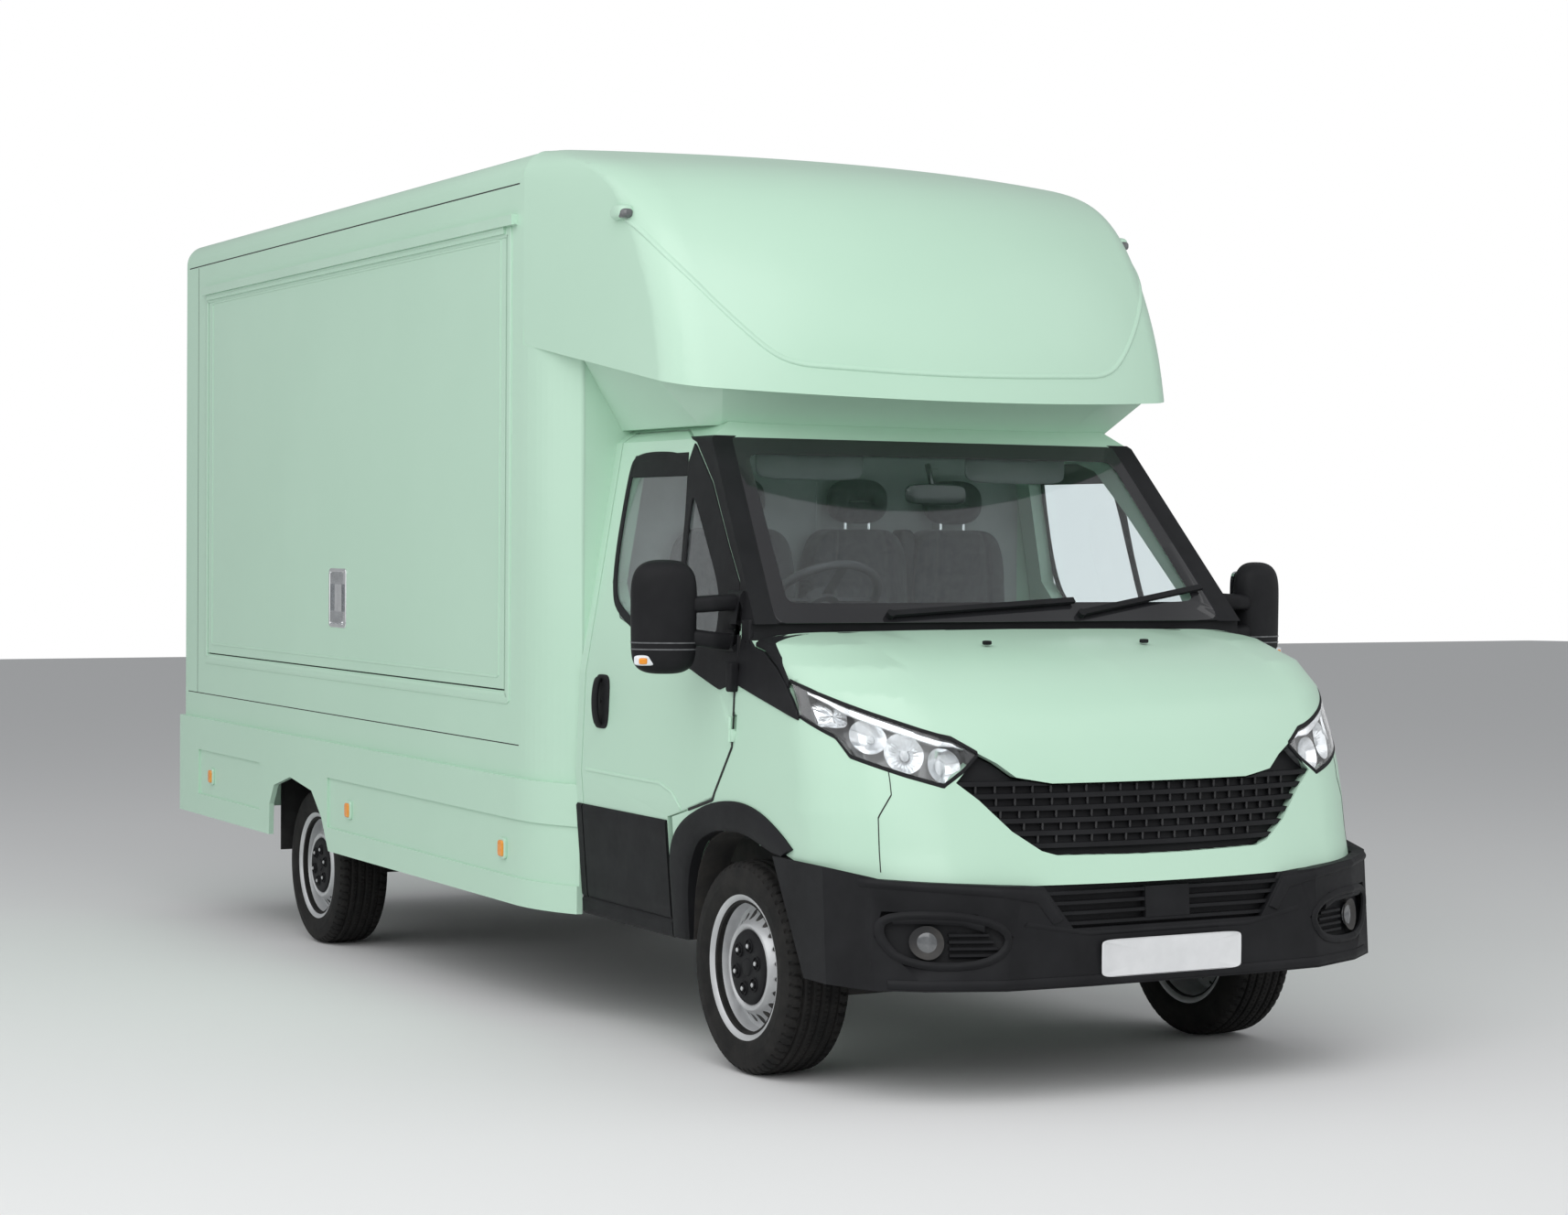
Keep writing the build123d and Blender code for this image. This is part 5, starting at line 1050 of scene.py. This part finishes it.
mirrorHead, mirrorBands, mirrorGlass, mirrorArms, mirrorLens, mirrorAmber = mirrorShapes()


def mirrorFoot(side):
    # A raised pad on the door that the arms stand on
    lower = resampled([(-0.038, 1.362), (0.062, 1.362)], 20)
    upper = resampled([(-0.038, 1.556), (0.062, 1.556)], 20)
    return slab(lower, upper, onFlank(side), 0.020, across=10, edge=0.008)


def onSide(shapes, side):
    # Left-hand shapes as they are, or their mirror images for the right
    return tilted(*(shape if side == left else mirrored(shape) for shape in shapes))


mirrorPieces = (
    ("mirrorBands_", mirrorBands, "smokedLens", "trim"),
    ("mirrorGlass_", mirrorGlass, "mirrorFace", "chrome"),
    ("mirrorLamp_", [mirrorLens], "paleLens", "lamp"),
    ("mirrorAmber_", [mirrorAmber], "amberLens", "lamp"),
)
for side in (left, right):
    tag = sideNames[side]
    headShapes = onSide([mirrorHead] + mirrorArms, side) + tilted(mirrorFoot(side))
    makePiece("mirrorHead_" + tag, headShapes, "blackPlastic", "door_" + tag, replaces=("mirror_" + tag,), smooth=50)
    for name, shapes, finish, slot in mirrorPieces:
        makePiece(name + tag, onSide(shapes, side), finish, "door_" + tag, slot)
print("mirrors made")

# Softened copies of CAD nodes: shallow steps shade smoothly and sharp edges are rounded a little

softPlan = (
    ("bonnet", "bonnet", "mintPaint", 32, 0.0),
    ("front_fascia", "vehicle", "mintPaint", 32, 0.0),
    ("front_wings", "vehicle", "mintPaint", 32, 0.0),
    ("front_bumper", "vehicle", "blackPlastic", 32, 0.0),
    ("luton", "vehicle", "mintPaint", 16, 0.012),
    ("luton_collar", "vehicle", "mintPaint", 18, 0.006),
    ("box_front", "vehicle", "mintPaint", 30, 0.0),
    ("box_roof", "vehicle", "mintPaint", 30, 0.0),
    ("door_left", "door_left", "mintPaint", 30, 0.0),
    ("door_right", "door_right", "mintPaint", 30, 0.0),
)


def softened(name, body, finish, angle, width):
    # The node's own mesh where it stands, its corners sharper than the angle cut back by the width
    source = nodes[name]
    mesh = source.data.copy()
    mesh.transform(source.matrix_world)
    work = bmesh.new()
    work.from_mesh(mesh)
    bmesh.ops.remove_doubles(work, verts=work.verts, dist=0.00002)
    bmesh.ops.recalc_face_normals(work, faces=work.faces)
    if width:
        bmesh.ops.dissolve_limit(work, angle_limit=math.radians(0.6), verts=work.verts, edges=work.edges)
        sharp = [e for e in work.edges if len(e.link_faces) == 2 and e.calc_face_angle(0) > math.radians(angle)]
        bmesh.ops.bevel(work, geom=sharp, offset=width, segments=2, profile=0.5, affect="EDGES", clamp_overlap=True)
    work.to_mesh(mesh)
    work.free()
    mesh.materials.clear()
    mesh.materials.append(materials[finish])
    mesh.shade_smooth()
    mesh.set_sharp_from_angle(angle=math.radians(angle))
    piece = bpy.data.objects.new("soft_" + name, mesh)
    bpy.context.scene.collection.objects.link(piece)
    weighted = piece.modifiers.new("even", "WEIGHTED_NORMAL")
    weighted.keep_sharp = True
    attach(piece, body)
    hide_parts(name)
    return piece


for entry in softPlan:
    softened(*entry)
print("softened copies made")

# Bumper: raised band along its top, framed fog recess with a lamp and ribs, lower lip and plate seams

bumperPlan = np.array([(0.0, 0.0), (0.31, 0.0), (0.584, 0.05), (0.80, 0.28), (0.94, 0.55), (1.0, 1.0)])
bumperSize = {"frontY": -1.078, "depth": 0.378, "rake": 0.036, "lowZ": 0.385, "height": 0.383}


def bumperY(x, z):
    # The plan's depth at this x, raked back towards the top
    depth = np.interp(np.abs(x), bumperPlan[:, 0], bumperPlan[:, 1])
    rake = bumperSize["rake"] * (z - bumperSize["lowZ"]) / bumperSize["height"]
    return bumperSize["frontY"] + bumperSize["depth"] * depth + rake


def onBumper(uv, lift):
    # x and z as given, y from the bumper's plan, lifted along its normal
    uv = np.asarray(uv, dtype=float)
    x, z = uv[..., 0], uv[..., 1]
    tiny = 0.03
    y = bumperY(x, z)
    slope = (bumperY(x + tiny, z) - bumperY(x - tiny, z)) / (2 * tiny)
    normal = np.stack([slope, -np.ones(x.shape), np.full(x.shape, 0.09)], axis=-1)
    normal = normal / np.linalg.norm(normal, axis=-1, keepdims=True)
    return np.stack([x, y, z], axis=-1) + normal * np.broadcast_to(lift, x.shape)[..., None]


fogLoop = np.array([(0.560, 0.548), (0.632, 0.468), (0.852, 0.468), (0.915, 0.548), (0.898, 0.605), (0.668, 0.600)])


def bumperParts():
    # Strips between two lines each, laid on the bumper; all but the last two have a mirror image
    band = slab(resampled([(0.420, 0.575), (0.470, 0.640), (0.590, 0.662), (0.800, 0.680), (0.950, 0.690)], 80),
                resampled([(0.385, 0.590), (0.448, 0.678), (0.590, 0.690), (0.800, 0.706), (0.950, 0.716)], 80),
                onBumper, 0.007, across=7, edge=0.003, crown=0.003)
    loop = resampled(rounded(fogLoop, 2), 160, True)
    fogFrame = slab(grown(loop, 0.020), grown(loop, -0.004), onBumper, 0.006, sink=0.004, across=6, wrap=True,
                    edge=0.003, crown=0.003)
    lid = slab(resampled([(0.640, 0.560), (0.700, 0.580), (0.800, 0.586), (0.880, 0.582)], 50),
               resampled([(0.640, 0.590), (0.700, 0.602), (0.800, 0.606), (0.893, 0.604)], 50),
               onBumper, 0.000, sink=0.022, across=5, edge=0.003, crown=0.003)
    fogRibs = []
    for index, z in enumerate((0.486, 0.506, 0.526, 0.546)):
        start = 0.590 + 0.012 * index
        lower = resampled([(start, z), (0.740, z)], 20)
        upper = resampled([(start, z + 0.010), (0.740, z + 0.010)], 20)
        fogRibs.append(slab(lower, upper, onBumper, -0.008, sink=0.022, across=3, edge=0.002))
    lip = slab(resampled([(-0.90, 0.392), (0.90, 0.392)], 120), resampled([(-0.90, 0.418), (0.90, 0.418)], 120),
               onBumper, 0.006, across=5, edge=0.003, crown=0.002)
    fold = slab(resampled([(-0.520, 0.570), (-0.300, 0.535), (0.300, 0.535), (0.520, 0.570)], 120),
                resampled([(-0.505, 0.588), (-0.300, 0.551), (0.300, 0.551), (0.505, 0.588)], 120),
                onBumper, 0.003, across=5, edge=0.002, crown=0.002)
    return paired(band, fogFrame, lid, *fogRibs) + tilted(lip, fold)


fogU, fogZ = 0.800, 0.530
fogBowl = dish(fogU, fogZ, 0.046, 0.050, -0.004, -0.020, 0, place=onBumper)
fogLens = dome(fogU, fogZ, 0.034, 0.037, -0.019, 0.008, onBumper)
makePiece("bumperDetails", bumperParts(), "blackPlastic", smooth=40)
makePiece("fogBowls", paired(fogBowl), "castSteel")
makePiece("fogLenses", paired(fogLens), "smokedLens")


def grilleRibs():
    # Short uprights between the slats, staggered from row to row
    heights = noseFoot + noseRise * np.array([0.155, 0.205, 0.255, 0.305, 0.355, 0.405])
    reach = np.array([0.42, 0.49, 0.53, 0.57, 0.60])
    shapes = []
    for row in range(5):
        low, high = heights[row] + 0.006, heights[row + 1] - 0.006
        for x in np.arange(-reach[row] + 0.03 * (row % 2), reach[row], 0.060):
            y = float(noseY(x, (low + high) / 2)) + 0.018
            shapes.append(plate((x - 0.004, y, low), (x + 0.004, y + 0.012, high)))
    return tilted(*shapes)


makePiece("grilleRibs", grilleRibs(), "glossBlack", bevel=0.001)

# Cowl strip under the glass, washer jets, black liners in the front arches
cowl = slab(resampled([(-0.880, 0.0065), (0.880, 0.0065)], 80), resampled([(-0.862, 0.045), (0.862, 0.045)], 80),
            onScreen, 0.0010, sink=0.001, across=4, edge=0.0004)
cowlFace = plate((-0.960, -0.1218, 1.400), (0.960, -0.1190, 1.4530))
makePiece("cowlStrip", tilted(cowl, cowlFace), "blackPlastic")
jets = tilted(*(pillow((side * 0.304, -0.488, 1.3995), (0.030, 0.020, 0.014), 3.0, 16) for side in (left, right)))
makePiece("washerJets", jets, "blackPlastic", "bonnet")


def archLiner():
    # A thin band inside the wheel opening, lifted away from its centre, across the wheel's width
    path = resampled(rounded(archInner, 2, False), 60)
    out = path - np.array([-0.05, 0.45])
    out = out / np.linalg.norm(out, axis=1, keepdims=True)
    near, far = path - out * 0.004, path + out * 0.001
    rows = []
    for loop, x in ((near, 0.950), (near, 0.840), (far, 0.840), (far, 0.950)):
        rows.append(np.stack([np.full(len(loop), x), loop[:, 0], loop[:, 1]], axis=-1))
    return capped(np.stack(rows, axis=1))


archWall = plate((0.425, -0.560, 0.500), (0.431, 0.340, 0.960))
makePiece("archLiners", paired(archLiner(), archWall), "castSteel")


def seam(points, place, width=0.005, lift=0.0006):
    # A thin dark line of even width over a gap
    line = resampled(points, 80)
    ahead = np.gradient(line, axis=0)
    across = np.stack([-ahead[:, 1], ahead[:, 0]], axis=-1)
    across = across / np.linalg.norm(across, axis=1, keepdims=True) * width / 2
    return slab(line - across, line + across, place, lift, sink=0.001, across=3, edge=0.0003)


# Door handle in its recess, crease above the cladding

handle = {
    "middle": (0.931, 1.152), "half": (0.058, 0.094), "power": 0.45, "lift": 0.0050, "from": (0.930, 1.072),
    "to": (0.945, 1.232), "foot": 0.010, "bow": 0.016, "barHalf": 0.017, "barDepth": 0.009,
}


def doorHandle(side):
    # The recess is a superellipse filled to its middle; the bar runs up it on the root of a sine
    bend = np.linspace(0, 2 * math.pi, 120, endpoint=False)
    (midY, midZ), (halfY, halfZ), power = handle["middle"], handle["half"], handle["power"]
    plan = np.stack([midY + halfY * np.sign(np.cos(bend)) * np.abs(np.cos(bend)) ** power,
                     midZ + halfZ * np.sign(np.sin(bend)) * np.abs(np.sin(bend)) ** power], axis=-1)
    heart = np.array(handle["middle"])
    recess = slab(plan, heart + (plan - heart) * 0.03, onFlank(side), handle["lift"], across=9, wrap=True,
                  crown=-0.0015)
    path = np.linspace(handle["from"], handle["to"], 30)
    bow = handle["foot"] + handle["bow"] * np.sin(np.linspace(0, math.pi, 30)) ** 0.5
    bar = swept(onFlank(side)(path, bow), circle(handle["barHalf"], 20, handle["barDepth"], 3.0), (side * 1.0, 0, 0))
    return recess, bar


def doorSeam(side):
    # Dark line over the gap along the door's front edge
    points = [(0.008, 1.583), (-0.0645, 1.353), (-0.0645, 1.058), (0.0605, 0.8775), (0.240, 0.832)]
    return seam(points, onFlank(side), 0.0085, 0.0030)


def doorCrease(side):
    # A raised line of even height, level behind and bent down over the wheel arch
    lower = resampled([(0.300, 0.822), (0.360, 0.872), (0.450, 0.897), (1.040, 0.901)], 60)
    return slab(lower, lower + np.array([0.0, 0.012]), onFlank(side), 0.0030, across=4, edge=0.0015, crown=0.001)


for side in (left, right):
    tag = sideNames[side]
    makePiece("doorHandle_" + tag, tilted(*doorHandle(side)), "blackPlastic", "door_" + tag, smooth=45)
    makePiece("doorCrease_" + tag, tilted(doorCrease(side)), "mintPaint", "door_" + tag)
makePiece("doorSeams", bothSides(doorSeam), "rubberSeal")

# Body side: hatch frame and inner ridge, roof and corner seams, amber markers, latch bezel


def rectangleLoop(y0, y1, z0, z1, radius=0.02, count=400):
    # Four quarter circles joined by straight sides
    corner = circle(1.0, 40, 1.0, 2.0) * radius
    middle = np.array([(y1 - radius, z1 - radius), (y0 + radius, z1 - radius), (y0 + radius, z0 + radius),
                       (y1 - radius, z0 + radius)])
    loop = np.concatenate([middle[i] + corner[i * 10:i * 10 + 11 if i < 3 else 40] for i in range(4)])
    return resampled(loop, count, True)


def ring(loop, width, place, lift, sink=0.003, edge=0.0015, across=4):
    # A strip of even width inside a loop
    return slab(loop, grown(loop, -width), place, lift, sink=sink, across=across, wrap=True, edge=edge)


rightSide, leftSide = onBoxSide(right), onBoxSide(left)
frameRing = ring(rectangleLoop(1.588, 5.290, 1.108, 2.866, 0.012), 0.040, rightSide, 0.0040)
innerRing = ring(rectangleLoop(1.690, 5.190, 1.200, 2.826, 0.010), 0.009, rightSide, 0.0025, edge=0.001)
hatchSeal = ring(rectangleLoop(1.6345, 5.2505, 1.1545, 2.8605, 0.006), 0.0045, rightSide, -0.010, sink=0.020,
                 edge=0.0005)
bezel = ring(rectangleLoop(3.330, 3.540, 1.335, 1.585, 0.020, 160), 0.014, rightSide, 0.0045, edge=0.002)
makePiece("hatchFrame", tilted(frameRing), "mintPaint")
makePiece("hatchRidge", tilted(innerRing), "mintPaint", "serving_hatch")
makePiece("hatchSeal", tilted(hatchSeal), "rubberSeal")
makePiece("latchBezel", tilted(bezel), "chromeBright", "serving_hatch")

seams = []
for place in (rightSide, leftSide):
    seams.append(seam([(5.555, 3.012), (1.520, 3.012)], place))
    seams.append(seam([(5.410, 0.960), (5.410, 3.005)], place, 0.004))
    seams.append(seam([(5.555, 0.962), (1.500, 0.962)], place, 0.004))
makePiece("bodySeams", tilted(*seams), "rubberSeal")

sideMarker = {"places": (5.124, 3.243, 1.601), "z": 0.577, "baseX": 1.078, "lensX": 1.083}
markers, markerBases = [], []
for side in (left, right):
    for y in sideMarker["places"]:
        baseMiddle = (side * sideMarker["baseX"], y, sideMarker["z"])
        lensMiddle = (side * sideMarker["lensX"], y, sideMarker["z"])
        markerBases.append(pillow(baseMiddle, (0.014, 0.062, 0.078), 6.0, 24, 1.0))
        markers.append(pillow(lensMiddle, (0.018, 0.046, 0.060), 5.0, 24, 1.0))
makePiece("sideMarkers", tilted(*markers), "amberLens")
makePiece("markerBases", tilted(*markerBases), "mintRail")
print("body side made")

# Seats: crowned cushions with sewn channels, backs with rounded shoulders, headrests with a slot, on posts


def cushion(centre, size, power, channels=(), across=(), shoulder=0.0, count=72):
    # A rounded block with a crowned front, bell-shaped channels sewn into it and shoulders drawn in by height
    verts, faces = pillow((0, 0, 0), size, power, count, 0.8)
    x, y, z = verts[:, 0], verts[:, 1], verts[:, 2]
    groove = np.zeros(len(verts))
    for at in channels:
        groove += np.exp(-((x - at * size[0]) / 0.008) ** 2)
    for at in across:
        groove += np.exp(-((z - at * size[2]) / 0.008) ** 2)
    y = y * (1 - 0.10 * np.minimum(groove, 1) * np.clip(-y / (size[1] / 2), 0, 1))
    y = y - 0.018 * (1 - (2 * x / size[0]) ** 2) * (1 - (2 * z / size[2]) ** 2) * (y < 0)
    x = x * (1 - shoulder * np.clip(z / (size[2] / 2), 0, 1) ** 4)
    return np.stack([x, y, z], axis=-1) + np.asarray(centre), faces


def flatCushion(centre, size, channels, across):
    # The same form lying down, its crowned face up
    verts, faces = cushion((0, 0, 0), (size[0], size[2], size[1]), 7.0, channels, across)
    return np.stack([verts[:, 0], verts[:, 2], -verts[:, 1]], axis=-1) + np.asarray(centre), [f[::-1] for f in faces]


def headrest(x, y, z):
    # A round section carried once round a rounded rectangle, which leaves a slot in its middle
    path = np.zeros((96, 3))
    outline = circle(0.082, 96, 0.042, 3.2)
    path[:, 0], path[:, 1], path[:, 2] = outline[:, 0] + x, y, outline[:, 1] + z
    return swept(path, circle(0.036, 24, 0.040, 2.4)[:, ::-1], (0, 1, 0), closed=True)


# Backs: x and width; cushions: x, width and channels across
backPlaces = ((-0.450, 0.470), (0.052, 0.405), (0.478, 0.405))
squabPlaces = ((-0.450, 0.490, (-0.27, 0.27)), (0.265, 0.850, (-0.38, -0.03, 0.03, 0.38)))
headPlaces = (-0.450, 0.060, 0.470)
backs = [cushion((x, 0.995, 1.365), (w, 0.150, 0.790), 7.0, (-0.27, 0.27), (-0.10, 0.24), 0.16) for x, w in backPlaces]
squabs = [flatCushion((x, 0.680, 1.075), (w, 0.500, 0.200), channels, (0.24,)) for x, w, channels in squabPlaces]
heads = [headrest(x, 0.985, 1.862) for x in headPlaces]
for name, shapes in (("seatBacks", backs), ("seatCushions", squabs), ("seatHeadrests", heads)):
    fabric = makePiece(name, tilted(*shapes), "seatFabric", replaces=("seats",), smooth=60)
posts = [swept([(x + shift, 0.985, 1.740), (x + shift, 0.985, 1.830)], circle(0.006, 12), (0, 1, 0))
         for x in headPlaces for shift in (-0.05, 0.05)]
seatBases = [plate((x - w / 2 + 0.03, 0.470, 0.700), (x + w / 2 - 0.03, 0.920, 0.985)) for x, w, _ in squabPlaces]
tower = pillow((0.265, 1.000, 1.440), (0.075, 0.110, 0.640), 5.0, 30, 0.8)
lining = plate((-0.820, 1.076, 0.760), (0.820, 1.083, 2.030))
liningRibs = [plate((x - 0.012, 1.073, 0.800), (x + 0.012, 1.077, 1.990)) for x in (-0.55, -0.05, 0.45)]
visors = [pillow((x, 0.480, 1.985), (0.420, 0.024, 0.120), 5.0, 24, 1.0) for x in (-0.42, 0.42)]
rearView = [pillow((0.0, 0.335, 1.880), (0.240, 0.030, 0.072), 4.0, 24, 1.0),
            swept([(0, 0.345, 1.885), (0, 0.390, 1.985)], circle(0.010, 14), (0, 1, 0))]
makePiece("headrestPosts", tilted(*posts), "chromeBright")
makePiece("seatBases", tilted(*seatBases, tower), "cabTrim", bevel=0.012)
makePiece("cabLining", tilted(lining, *liningRibs), "paleBoard", bevel=0.003)
makePiece("sunVisors", tilted(*visors), "greyBoard")
makePiece("cabMirror", tilted(*rearView), "glossBlack")
print("cab interior made")

# Luton: ridge that folds its front, marker lamps at the ridge's ends; all laid on the CAD surface


def surfaceOf(name):
    # A CAD node's faces where they stand, ready for nearest places
    mesh = nodes[name].data
    place = nodes[name].matrix_world
    return BVHTree.FromPolygons([place @ v.co for v in mesh.vertices], [tuple(p.vertices) for p in mesh.polygons])


def laid(points, tree, lift):
    # Nearest places on a surface and its outward normals there, away from the middle of the body
    found, normals = [], []
    for p in leaned(np.asarray(points, dtype=float)):
        spot, normal, _, _ = tree.find_nearest(Vector(p))
        away = Vector(p) - Vector((0, 0.2, 0.9))
        normal = normal if normal.dot(away) > 0 else -normal
        found.append(np.array(spot) + np.array(normal) * lift)
        normals.append(np.array(normal))
    normals = np.array(normals)
    for _ in range(6):
        normals[1:-1] = (normals[:-2] + normals[1:-1] * 2 + normals[2:]) / 4
    return np.array(found), normals / np.linalg.norm(normals, axis=1, keepdims=True)


lutonSkin = surfaceOf("luton")
foldPath = np.array([(-1.018, 0.704, 2.808), (-1.006, 0.615, 2.764), (-0.964, 0.487, 2.663), (-0.882, 0.376, 2.542),
                     (-0.785, 0.296, 2.426), (-0.690, 0.240, 2.335), (-0.610, 0.215, 2.306), (-0.528, 0.193, 2.300),
                     (-0.201, 0.143, 2.284), (0.163, 0.141, 2.284), (0.528, 0.193, 2.300), (0.610, 0.215, 2.306),
                     (0.690, 0.240, 2.335), (0.785, 0.296, 2.426), (0.882, 0.376, 2.542), (0.964, 0.487, 2.663),
                     (1.006, 0.615, 2.764), (1.018, 0.704, 2.808)])
foldSection = np.array([(-0.017, -0.003), (-0.008, 0.0025), (0.0, 0.0050), (0.005, 0.0035), (0.009, -0.003)])
foldLine, foldNormals = laid(resampled(rounded(foldPath, 2, False), 220), lutonSkin, 0.0)
makePiece("lutonFold", [swept(foldLine, foldSection, foldNormals)], "mintPaint", smooth=60)

lutonLamp = {"place": (1.015, 0.730, 2.835), "base": (0.060, 0.110, 0.050), "glass": (0.044, 0.058, 0.034),
             "lift": 0.002, "forward": (0.006, -0.034, -0.008)}
lampBases, lampGlasses = [], []
for side in (left, right):
    mirrorSigns = np.array([side, 1, 1])
    spot, normal = laid([mirrorSigns * lutonLamp["place"]] * 3, lutonSkin, 0.0)
    onSkin = spot[1] + normal[1] * lutonLamp["lift"]
    lampBases.append(pillow(onSkin, lutonLamp["base"], 3.0, 24, 1.0))
    lampGlasses.append(pillow(spot[1] + mirrorSigns * lutonLamp["forward"], lutonLamp["glass"], 3.0, 20, 1.0))
makePiece("lutonLampBases", lampBases, "mintPaint")
makePiece("lutonLamps", lampGlasses, "smokedLens")

# Seam between wing and fascia from the lamp down to the bumper
wingPoints = [(uOf(x, z), z) for x, z in ((0.845, 1.030), (0.845, 0.960), (0.880, 0.890), (0.885, 0.730))]
makePiece("wingSeams", paired(seam(wingPoints, aroundNose, 0.006, 0.0008)), "rubberSeal")
print("luton made")

# Number plates stay blank


def bentPlate(y, z, facing, half=0.260, height=0.114):
    # A thin rounded rectangle with a raised rim, its sections one in front of another
    loop = circle(half, 40, height / 2, 12.0)
    rows = []
    for share, depth in ((1.0, 0.0), (1.0, 0.004), (0.985, 0.005), (0.975, 0.0035), (0.5, 0.0035)):
        rows.append(np.stack([loop[:, 0] * share, np.full(len(loop), y) + facing * depth, z + loop[:, 1] * share],
                             axis=-1))
    return capped(np.stack(rows))


makePiece("frontPlate", tilted(bentPlate(-1.079, 0.466, -1)), "plateWhite")

# Rear: door frame and handle, lamp lenses and the upper lamps

rearFrame = ring(rectangleLoop(-0.430, 0.430, 0.878, 2.905, 0.015), 0.022, onRear, 0.004)
grip = swept([(-0.310, 5.600, 1.520), (-0.310, 5.628, 1.530), (-0.310, 5.632, 1.600), (-0.310, 5.628, 1.670),
              (-0.310, 5.600, 1.680)], circle(0.011, 16), (1, 0, 0))
gripBase = ring(rectangleLoop(-0.340, -0.280, 1.480, 1.720, 0.015, 160), 0.028, onRear, 0.003, edge=0.001)
makePiece("rearDoorFrame", tilted(rearFrame), "mintPaint")
makePiece("rearDoorHandle", tilted(grip, gripBase), "blackPlastic", "rear_door")

rearLamp = {"x": boxHalfWidth - 0.115, "y": 5.649, "reds": (0.625, 0.705), "white": 0.555, "upper": (0.900, 5.602, 3.035)}
reds, whites, uppers = [], [], []
for side in (left, right):
    x, y = side * rearLamp["x"], rearLamp["y"]
    reds += [pillow((x, y, z), (0.086, 0.016, 0.072), 5.0, 22, 1.0) for z in rearLamp["reds"]]
    whites.append(pillow((x, y, rearLamp["white"]), (0.086, 0.016, 0.058), 5.0, 22, 1.0))
    uppers.append(pillow(np.array([side, 1, 1]) * rearLamp["upper"], (0.075, 0.014, 0.028), 4.0, 20, 1.0))
makePiece("rearLampLenses", tilted(*reds, *uppers), "redLens")
makePiece("rearLampWhites", tilted(*whites), "paleLens")
makePiece("rearPlate", tilted(bentPlate(5.623, 0.520, 1)), "plateWhite")
print("rear made")

# Camera at the photograph's place and angle, turned by yaw, tipped down by pitch and rolled
cameraPlan = {"place": (-5.299, -10.657, 1.536), "yaw": 28.4584, "pitch": 0.2704, "roll": 0.1088, "lens": 67.13,
              "sensor": 36.0}
cameraPlace = Vector(cameraPlan["place"])
yaw, pitch, roll = (math.radians(cameraPlan[turn]) for turn in ("yaw", "pitch", "roll"))
ahead = Vector((math.sin(yaw), math.cos(yaw), 0))
across = Vector((math.cos(yaw), -math.sin(yaw), 0))
upward = Vector((0, 0, 1))
aim = ahead * math.cos(pitch) - upward * math.sin(pitch)
top = upward * math.cos(pitch) + ahead * math.sin(pitch)
cameraX = across * math.cos(roll) - top * math.sin(roll)
cameraY = top * math.cos(roll) + across * math.sin(roll)
cameraData = bpy.data.cameras.new("camera")
cameraData.lens = cameraPlan["lens"]
cameraData.sensor_width = cameraPlan["sensor"]
camera = bpy.data.objects.new("camera", cameraData)
camera.matrix_world = Matrix((
    (cameraX.x, cameraY.x, -aim.x, cameraPlace.x),
    (cameraX.y, cameraY.y, -aim.y, cameraPlace.y),
    (cameraX.z, cameraY.z, -aim.z, cameraPlace.z),
    (0, 0, 0, 1),
))
bpy.context.scene.collection.objects.link(camera)
bpy.context.scene.camera = camera

# Floor, soft lamps and a pale world
floorMesh = bpy.data.meshes.new("floor")
floorMesh.from_pydata([(-60, -60, 0), (60, -60, 0), (60, 60, 0), (-60, 60, 0)], [], [[0, 1, 2, 3]])
floorMaterial = bpy.data.materials.new("floorPale")
floorMaterial.use_nodes = True
floorShader = floorMaterial.node_tree.nodes["Principled BSDF"]
floorShader.inputs["Base Color"].default_value = (0.80, 0.80, 0.80, 1)
floorShader.inputs["Roughness"].default_value = 0.9
floorMesh.materials.append(floorMaterial)
floor = bpy.data.objects.new("floor", floorMesh)
bpy.context.scene.collection.objects.link(floor)

# Lamps: name, place, target, size, power
lampPlan = (
    ("keyLamp", (-5.0, -8.0, 7.5), (0.0, -0.5, 1.2), 11.0, 720.0),
    ("sideLamp", (-9.0, 1.0, 6.0), (0.0, 0.5, 1.5), 11.0, 260.0),
    ("fillLamp", (6.0, -7.0, 5.0), (0.0, 0.0, 1.2), 9.0, 150.0),
)
for name, place, target, size, power in lampPlan:
    data = bpy.data.lights.new(name, "AREA")
    data.shape = "SQUARE"
    data.size = size
    data.energy = power
    lamp = bpy.data.objects.new(name, data)
    facing = (Vector(target) - Vector(place)).to_track_quat("-Z", "Y").to_matrix().to_4x4()
    lamp.matrix_world = Matrix.Translation(place) @ facing
    bpy.context.scene.collection.objects.link(lamp)

# The world lights the scene softly, and is white where the camera sees it, through glass too
world = bpy.data.worlds.new("world")
bpy.context.scene.world = world
world.use_nodes = True
worldTree = world.node_tree
background = worldTree.nodes["Background"]
background.inputs["Color"].default_value = (0.93, 0.95, 0.97, 1)
background.inputs["Strength"].default_value = 0.42
white = worldTree.nodes.new("ShaderNodeBackground")
white.inputs["Color"].default_value = (1, 1, 1, 1)
white.inputs["Strength"].default_value = 1.0
choose = worldTree.nodes.new("ShaderNodeMixShader")
rays = worldTree.nodes.new("ShaderNodeLightPath")
seen = worldTree.nodes.new("ShaderNodeMath")
seen.operation = "ADD"
seen.use_clamp = True
worldTree.links.new(rays.outputs["Is Camera Ray"], seen.inputs[0])
worldTree.links.new(rays.outputs["Is Transmission Ray"], seen.inputs[1])
worldTree.links.new(seen.outputs[0], choose.inputs["Fac"])
worldTree.links.new(background.outputs["Background"], choose.inputs[1])
worldTree.links.new(white.outputs["Background"], choose.inputs[2])
worldTree.links.new(choose.outputs["Shader"], worldTree.nodes["World Output"].inputs["Surface"])
bpy.context.scene.view_settings.view_transform = "Standard"
print("stage set")
